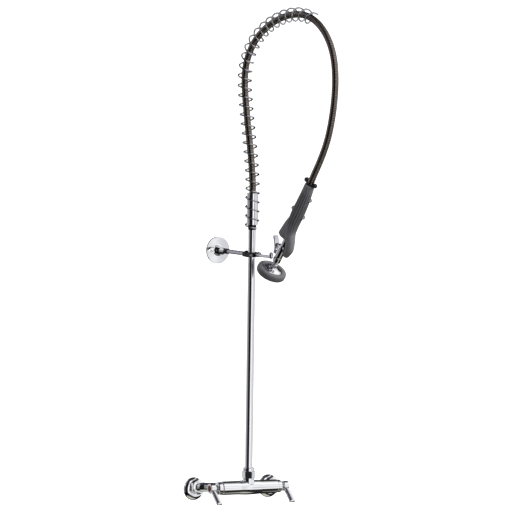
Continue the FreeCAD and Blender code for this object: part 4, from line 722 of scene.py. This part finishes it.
make_piece("rubber_bumper", [revolve(soften([
    (23.55, -10.0), (26.0, -10.5), (32.0, -10.5), (34.7, -7.5), (35.5, -1.5), (34.7, 4.5), (32.0, 7.1),
    (25.5, 7.5), (23.55, 5.5)], [0.5, 0.8, 1.6, 2.2, 2.4, 2.2, 1.6, 0.8, 0.6], closed=True),
    spray_axes, 96)], "root", ["bumper_ring"])

# %% Squeeze lever
blade_run = through([(14.7, 53.0), (18.0, 58.0), (23.5, 65.0), (30.0, 71.2), (36.1, 76.5)], 40)
share = np.linspace(0.0, 1.0, len(blade_run))
blade_half = 7.9 * (0.55 + 0.45 * np.sqrt(np.clip(1 - ((share - 0.85) / 0.15).clip(0, None) ** 2, 0, 1)))
blade_line = spray_origin + blade_run[:, :1] * to_riser + blade_run[:, 1:] * spray_along
lever_shells = [carry(blade_line, blade_half, np.full(len(share), 1.5), aside=ACROSS, around=36, power=5.0)]
cheek = soften([(11.5, 50.0), (9.7, 48.5), (9.5, 44.5), (12.0, 42.2), (15.5, 42.6), (17.3, 51.2),
                (24.5, 63.0), (21.5, 64.6)], 1.6, closed=True)
for low, high in ((-5.9, -3.3), (3.3, 5.9)):
    lever_shells.append(slab(cheek, low, high, valve_plane, 0.5, middle=(14.5, 50.0)))
make_piece("squeeze_lever", lever_shells, "spray_lever", ["spray_lever"])

# %% [markdown]
# ## Finishes
# One small helper adds a shader node with its settings, fixed inputs and links. Colours are written as
# sRGB hex, as a paint chart gives them, and one function turns them into the linear values that the
# shader works in. Pattern scales are one over a real size in metres.

# %% Colour and node helpers
def to_linear(code):
    """Linear red, green, blue and alpha from an sRGB hex code: c / 12.92 below 0.04045, and
    ((c + 0.055) / 1.055) ^ 2.4 above it."""
    srgb = np.array([int(code[i:i + 2], 16) for i in (1, 3, 5)]) / 255.0
    linear = np.where(srgb <= 0.04045, srgb / 12.92, ((srgb + 0.055) / 1.055) ** 2.4)
    return (*linear.tolist(), 1.0)


def add_node(tree, kind, inputs=None, links=None, **settings):
    """One shader node with its settings, its fixed inputs and the links into it."""
    node = tree.nodes.new(kind)
    for key, value in settings.items():
        setattr(node, key, value)
    for key, value in (inputs or {}).items():
        node.inputs[key].default_value = value
    for key, source in (links or {}).items():
        tree.links.new(source, node.inputs[key])
    return node


def per_metre(millimetres):
    """A noise scale from a real size in millimetres."""
    return METRE / millimetres


def finish(name, dark, light, rough, patch, grain, bump, metallic=0.0, mark=None, **sockets):
    """A finish with one Principled shader. Its colour wanders from dark to light over patches of one
    real size, its roughness over the same patches, and a fine grain lifts the surface. A mark names
    an attribute of the mesh and the colour that it leads to; further settings are shader sockets."""
    material = bpy.data.materials.new(name)
    material.use_nodes = True
    tree = material.node_tree
    shader = tree.nodes["Principled BSDF"]
    shader.inputs["Metallic"].default_value = metallic
    for socket, value in sockets.items():
        shader.inputs[socket.replace("_", " ")].default_value = value
    place = add_node(tree, "ShaderNodeTexCoord").outputs["Object"]
    cloud = add_node(tree, "ShaderNodeTexNoise", {"Scale": per_metre(patch), "Detail": 3.0},
                     {"Vector": place}).outputs["Fac"]
    tint = add_node(tree, "ShaderNodeMix", {"A": to_linear(dark), "B": to_linear(light)},
                    {"Factor": cloud}, data_type="RGBA")
    colour = tint.outputs["Result"]
    if mark is not None:
        depth = add_node(tree, "ShaderNodeAttribute", attribute_name=mark[0]).outputs["Fac"]
        shade = add_node(tree, "ShaderNodeMix", {"B": to_linear(mark[1])},
                         {"Factor": depth, "A": colour}, data_type="RGBA")
        colour = shade.outputs["Result"]
    tree.links.new(colour, shader.inputs["Base Color"])
    sheen = add_node(tree, "ShaderNodeMapRange", {"To Min": rough[0], "To Max": rough[1]},
                     {"Value": cloud})
    tree.links.new(sheen.outputs["Result"], shader.inputs["Roughness"])
    fine = add_node(tree, "ShaderNodeTexNoise", {"Scale": per_metre(grain), "Detail": 2.0},
                    {"Vector": place}).outputs["Fac"]
    relief = add_node(tree, "ShaderNodeBump", {"Strength": 1.0, "Distance": bump * MM},
                      {"Height": fine})
    tree.links.new(relief.outputs["Normal"], shader.inputs["Normal"])
    return material


# %% [markdown]
# ## Metals
# Chrome plate is a thin bright layer over polished brass, so it mirrors nearly everything. Its body is
# close to white, with soft patches where it has been wiped. The spring's chromed wire is darker and a
# little rougher. The bracket's rod is drawn stainless steel, softer again. The clamp and the other dark
# fittings are nickel plated.

# %% Metal finishes
finishes = {
    "chrome_brass": finish("chrome_plate_on_brass", "#eeeff2", "#fafafb", (0.03, 0.07), 14.0, 9.0,
                           0.003, metallic=1.0),
    "chrome_steel": finish("chromed_spring_steel", "#b9bac2", "#dcdde2", (0.05, 0.12), 8.0, 2.0,
                           0.006, metallic=1.0),
    "satin_rod": finish("drawn_stainless_rod", "#a7a4b0", "#c3c0cb", (0.22, 0.34), 6.0, 0.6,
                        0.008, metallic=1.0),
    "dark_nickel": finish("dark_nickel_plate", "#1d1d21", "#303035", (0.26, 0.40), 5.0, 0.8,
                          0.008, metallic=1.0),
    "raw_brass": finish("machined_brass", "#b48c48", "#d6b26a", (0.18, 0.30), 5.0, 0.5,
                        0.006, metallic=1.0),
    "stainless_steel": finish("stainless_screw_steel", "#b1b1b3", "#cdcdcf", (0.16, 0.28), 4.0, 0.5,
                              0.006, metallic=1.0),
    # The hose's groove mark darkens its colour towards near black: painted shade in the grooves.
    "hose_armour": finish("interlocked_steel_strip", "#7f7570", "#a89e97", (0.18, 0.32), 9.0, 0.7,
                          0.008, metallic=1.0, mark=("groove", "#1d1816")),
}
print(len(finishes), "metal finishes")

# %% [markdown]
# ## Rubber, plastic and ceramic
# The grip is moulded plastic with a spark-eroded texture, about a millimetre across, with painted shade
# darkening its flutes. The bumper is grey moulded rubber, matt, and its tone drifts over patches of about a
# centimetre. The buttons are gloss plastic, and the discs inside the cartridges are lapped alumina.

# %% Other finishes
finishes.update({
    # The grip's flute mark darkens its colour in the flutes: painted shade.
    "grip_plastic": finish("textured_grip_plastic", "#7c7c80", "#929296", (0.42, 0.56), 11.0, 1.1,
                           0.06, mark=("flute", "#505053"), IOR=1.5),
    "black_plastic": finish("moulded_black_plastic", "#17171a", "#232326", (0.34, 0.46), 9.0, 0.9,
                            0.03, IOR=1.5),
    "face_plastic": finish("moulded_grey_plastic", "#8b8b8e", "#98989b", (0.38, 0.50), 9.0, 0.9,
                           0.03, IOR=1.5),
    "black_rubber": finish("moulded_black_rubber", "#1f1f21", "#2c2c2e", (0.55, 0.70), 7.0, 0.9,
                           0.04, IOR=1.52),
    "bumper_rubber": finish("moulded_grey_rubber", "#68686c", "#828286", (0.44, 0.60), 10.0, 1.0,
                            0.06, IOR=1.52),
    "red_plastic": finish("gloss_red_plastic", "#741c1c", "#862626", (0.10, 0.18), 6.0, 1.0,
                          0.004, IOR=1.49),
    "blue_plastic": finish("gloss_blue_plastic", "#1c3f9e", "#2750b4", (0.10, 0.18), 6.0, 1.0,
                           0.004, IOR=1.49),
    "alumina": finish("lapped_alumina", "#ece8dd", "#f5f2ea", (0.22, 0.32), 5.0, 0.5,
                      0.003, IOR=1.76),
})
slot_of = {part["node"]: part["material_slot"] for part in frame["record"]["subparts"]}


def dress(thing, slot):
    """Give an object one finish, in its one material slot."""
    thing.data.materials.clear()
    thing.data.materials.append(finishes[slot])


for name, thing in frame["nodes"].items():
    dress(thing, slot_of[name])
dressed = 0
for thing in bpy.data.objects:
    if "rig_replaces" in thing:
        slot = slot_of[thing["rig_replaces"][0]]
        dress(thing, slot)
        dressed += 1
print(dressed, "new pieces and", len(frame["nodes"]), "CAD pieces dressed")

# %% [markdown]
# ## Floor and light
# The floor is a wide disc well below the faucet, which hangs on its wall. It glows, so that it stays an
# even white, and it neither shows in the chrome nor lights the faucet. Chrome shows only what stands
# round it, so the room matters more than the lamps: a pale room with dark screens on the left and at
# the back, a dark ring low down, a greenish-grey floor and a dark ceiling. Rays that don't come off a
# mirror meet a plainer grey room, darker below and on the left. Bearings are in degrees from straight
# out of the wall, to the right; levels are in degrees above the horizon.

# %% Floor
FLOOR_REACH, FLOOR_DROP, FLOOR_THICK = 60.0, 330.0, 20.0    # metres, then millimetres
ring_out = np.concatenate([[0.5], np.geomspace(1.0, FLOOR_REACH, 24)])
floor_z = cad_box[0][2] / MM - FLOOR_DROP
floor_axes = axes_at([0.0, 0.0, floor_z], UP, [1, 0, 0])
floor_profile = np.vstack([[(0.0, 0.0)], np.column_stack([ring_out * METRE, np.zeros(len(ring_out))]),
                           [(FLOOR_REACH * METRE, -FLOOR_THICK), (0.0, -FLOOR_THICK)]])
floor_shell = revolve(floor_profile, floor_axes, 96)
floor_mesh = bpy.data.meshes.new("studio_floor")
floor_mesh.from_pydata((floor_shell[0] * MM).tolist(), [],
                       floor_shell[1].tolist() + floor_shell[2].tolist())
floor = bpy.data.objects.new("studio_floor", floor_mesh)
bpy.context.scene.collection.objects.link(floor)
floor.data.materials.append(finish("pale_floor_paint", "#f4f4f4", "#f8f8f8", (0.7, 0.8), 600.0, 40.0,
                                   0.05, IOR=1.45, Emission_Color=(1.0, 1.0, 1.0, 1.0),
                                   Emission_Strength=1.1))
floor.visible_glossy = False
floor.visible_diffuse = False

# %% The room round the faucet
world = bpy.data.worlds.new("studio_room")
bpy.context.scene.world = world
world.use_nodes = True
room = world.node_tree
room.nodes.clear()
look = add_node(room, "ShaderNodeTexCoord").outputs["Generated"]
parts = add_node(room, "ShaderNodeSeparateXYZ", links={"Vector": look})
level = add_node(room, "ShaderNodeMath", links={0: parts.outputs["Z"]}, operation="ARCSINE")
bearing = add_node(room, "ShaderNodeMath", links={0: parts.outputs["X"]}, operation="ARCTAN2")
minus_y = add_node(room, "ShaderNodeMath", {1: -1.0}, {0: parts.outputs["Y"]}, operation="MULTIPLY")
room.links.new(minus_y.outputs[0], bearing.inputs[1])


def band(angle, low, high, soft):
    """One between two angles in degrees and nought outside, with soft edges."""
    rise = add_node(room, "ShaderNodeMapRange", {"From Min": math.radians(low - soft),
                    "From Max": math.radians(low + soft)}, {"Value": angle.outputs[0]},
                    interpolation_type="SMOOTHSTEP")
    fall = add_node(room, "ShaderNodeMapRange", {"From Min": math.radians(high - soft),
                    "From Max": math.radians(high + soft), "To Min": 1.0, "To Max": 0.0},
                    {"Value": angle.outputs[0]}, interpolation_type="SMOOTHSTEP")
    return add_node(room, "ShaderNodeMath", links={0: rise.outputs[0], 1: fall.outputs[0]},
                    operation="MULTIPLY")


def lay_over(below, colour, masks, strength):
    """Mix a colour over what is below it, by the product of the masks and a strength."""
    factor = masks[0]
    for mask in masks[1:]:
        factor = add_node(room, "ShaderNodeMath", links={0: factor.outputs[0], 1: mask.outputs[0]},
                          operation="MULTIPLY")
    factor = add_node(room, "ShaderNodeMath", {1: strength}, {0: factor.outputs[0]},
                      operation="MULTIPLY")
    mixed = add_node(room, "ShaderNodeMix", {"B": to_linear(colour)},
                     {"Factor": factor.outputs[0], "A": below}, data_type="RGBA")
    return mixed.outputs["Result"]


def plain(colour):
    """One even colour, to lay the others over."""
    node = add_node(room, "ShaderNodeRGB")
    node.outputs[0].default_value = to_linear(colour)
    return node.outputs[0]


ROOM_GLOW = 1.12
upright_part = band(level, -60, 66, 10)
walls = plain("#fdfdfd")
for colour, masks, strength in (
        ("#86868c", [band(bearing, -150, -80, 12), upright_part], 1.0),         # grey, left and back
        ("#b9b9be", [band(bearing, 14, 26, 5), upright_part], 0.9),             # a strip, right of front
        ("#cfcfd4", [band(bearing, 30, 104, 6), band(level, -16, 8, 4)], 1.0),  # a line on the right
        ("#dedee1", [band(level, 16, 34, 6)], 0.9),                             # a rail all round
        ("#b4b6a8", [band(level, -100, -54, 4)], 1.0),                          # the floor
        ("#3b3946", [band(level, 58, 100, 6)], 1.0),                            # the ceiling
        ("#060608", [band(level, -58, -27, 3)], 0.98),                          # a dark ring low down
        ("#040405", [band(bearing, -92, -22, 7), upright_part], 0.99),          # dark, left to the camera
        ("#121215", [band(bearing, 104, 200, 10), upright_part], 0.97),         # dark, right and back
        ("#121215", [band(bearing, -200, -168, 8), upright_part], 0.97)):       # the same, past the seam
    walls = lay_over(walls, colour, masks, strength)
shade = plain("#b4b4b4")
shade = lay_over(shade, "#464646", [band(level, -100, -12, 16)], 1.0)
shade = lay_over(shade, "#3c3c3c", [band(bearing, -150, -20, 20)], 0.8)
mirrored = add_node(room, "ShaderNodeLightPath").outputs["Is Glossy Ray"]
seen = add_node(room, "ShaderNodeMix", links={"Factor": mirrored, "A": shade, "B": walls},
                data_type="RGBA")
glow = add_node(room, "ShaderNodeBackground", {"Strength": ROOM_GLOW}, {"Color": seen.outputs["Result"]})
add_node(room, "ShaderNodeOutputWorld", links={"Surface": glow.outputs[0]})
print("room of", len(room.nodes), "nodes")

# %% Soft lamps
LAMP_TARGET = [0, -0.08, 0.5]             # the middle of the faucet, in metres
OFF_AXIS = [0.31, 0.57, 0.76]             # any direction that no lamp faces, to set its two sides by


def soft_lamp(name, place, size, watts):
    """A wide square lamp that faces the middle of the faucet."""
    lamp_data = bpy.data.lights.new(name, "AREA")
    lamp_data.shape = "SQUARE"
    lamp_data.size = size
    lamp_data.energy = watts
    lamp = bpy.data.objects.new(name, lamp_data)
    bpy.context.scene.collection.objects.link(lamp)
    facing = axes_at(place, np.asarray(place, float) - LAMP_TARGET, OFF_AXIS)
    matrix = np.eye(4)
    matrix[:3, 0], matrix[:3, 1], matrix[:3, 2], matrix[:3, 3] = facing[1], facing[2], facing[3], place
    lamp.matrix_world = matrix.T.tolist()
    lamp.visible_camera = False
    lamp.visible_glossy = False
    return lamp


soft_lamp("key_lamp", (2.2, -3.0, 2.4), 1.6, 110.0)
soft_lamp("fill_lamp", (-2.8, -2.6, 1.4), 2.4, 22.0)
soft_lamp("top_lamp", (0.2, 0.4, 3.4), 2.4, 40.0)
soft_lamp("back_lamp", (0.8, 3.0, 1.2), 2.4, 30.0)
bpy.context.scene.view_settings.view_transform = "Standard"

# %% [markdown]
# ## The box of the CAD model is printed.

# %% The CAD model's size
print("CAD box", [[round(v, 4) for v in corner] for corner in cad_box])
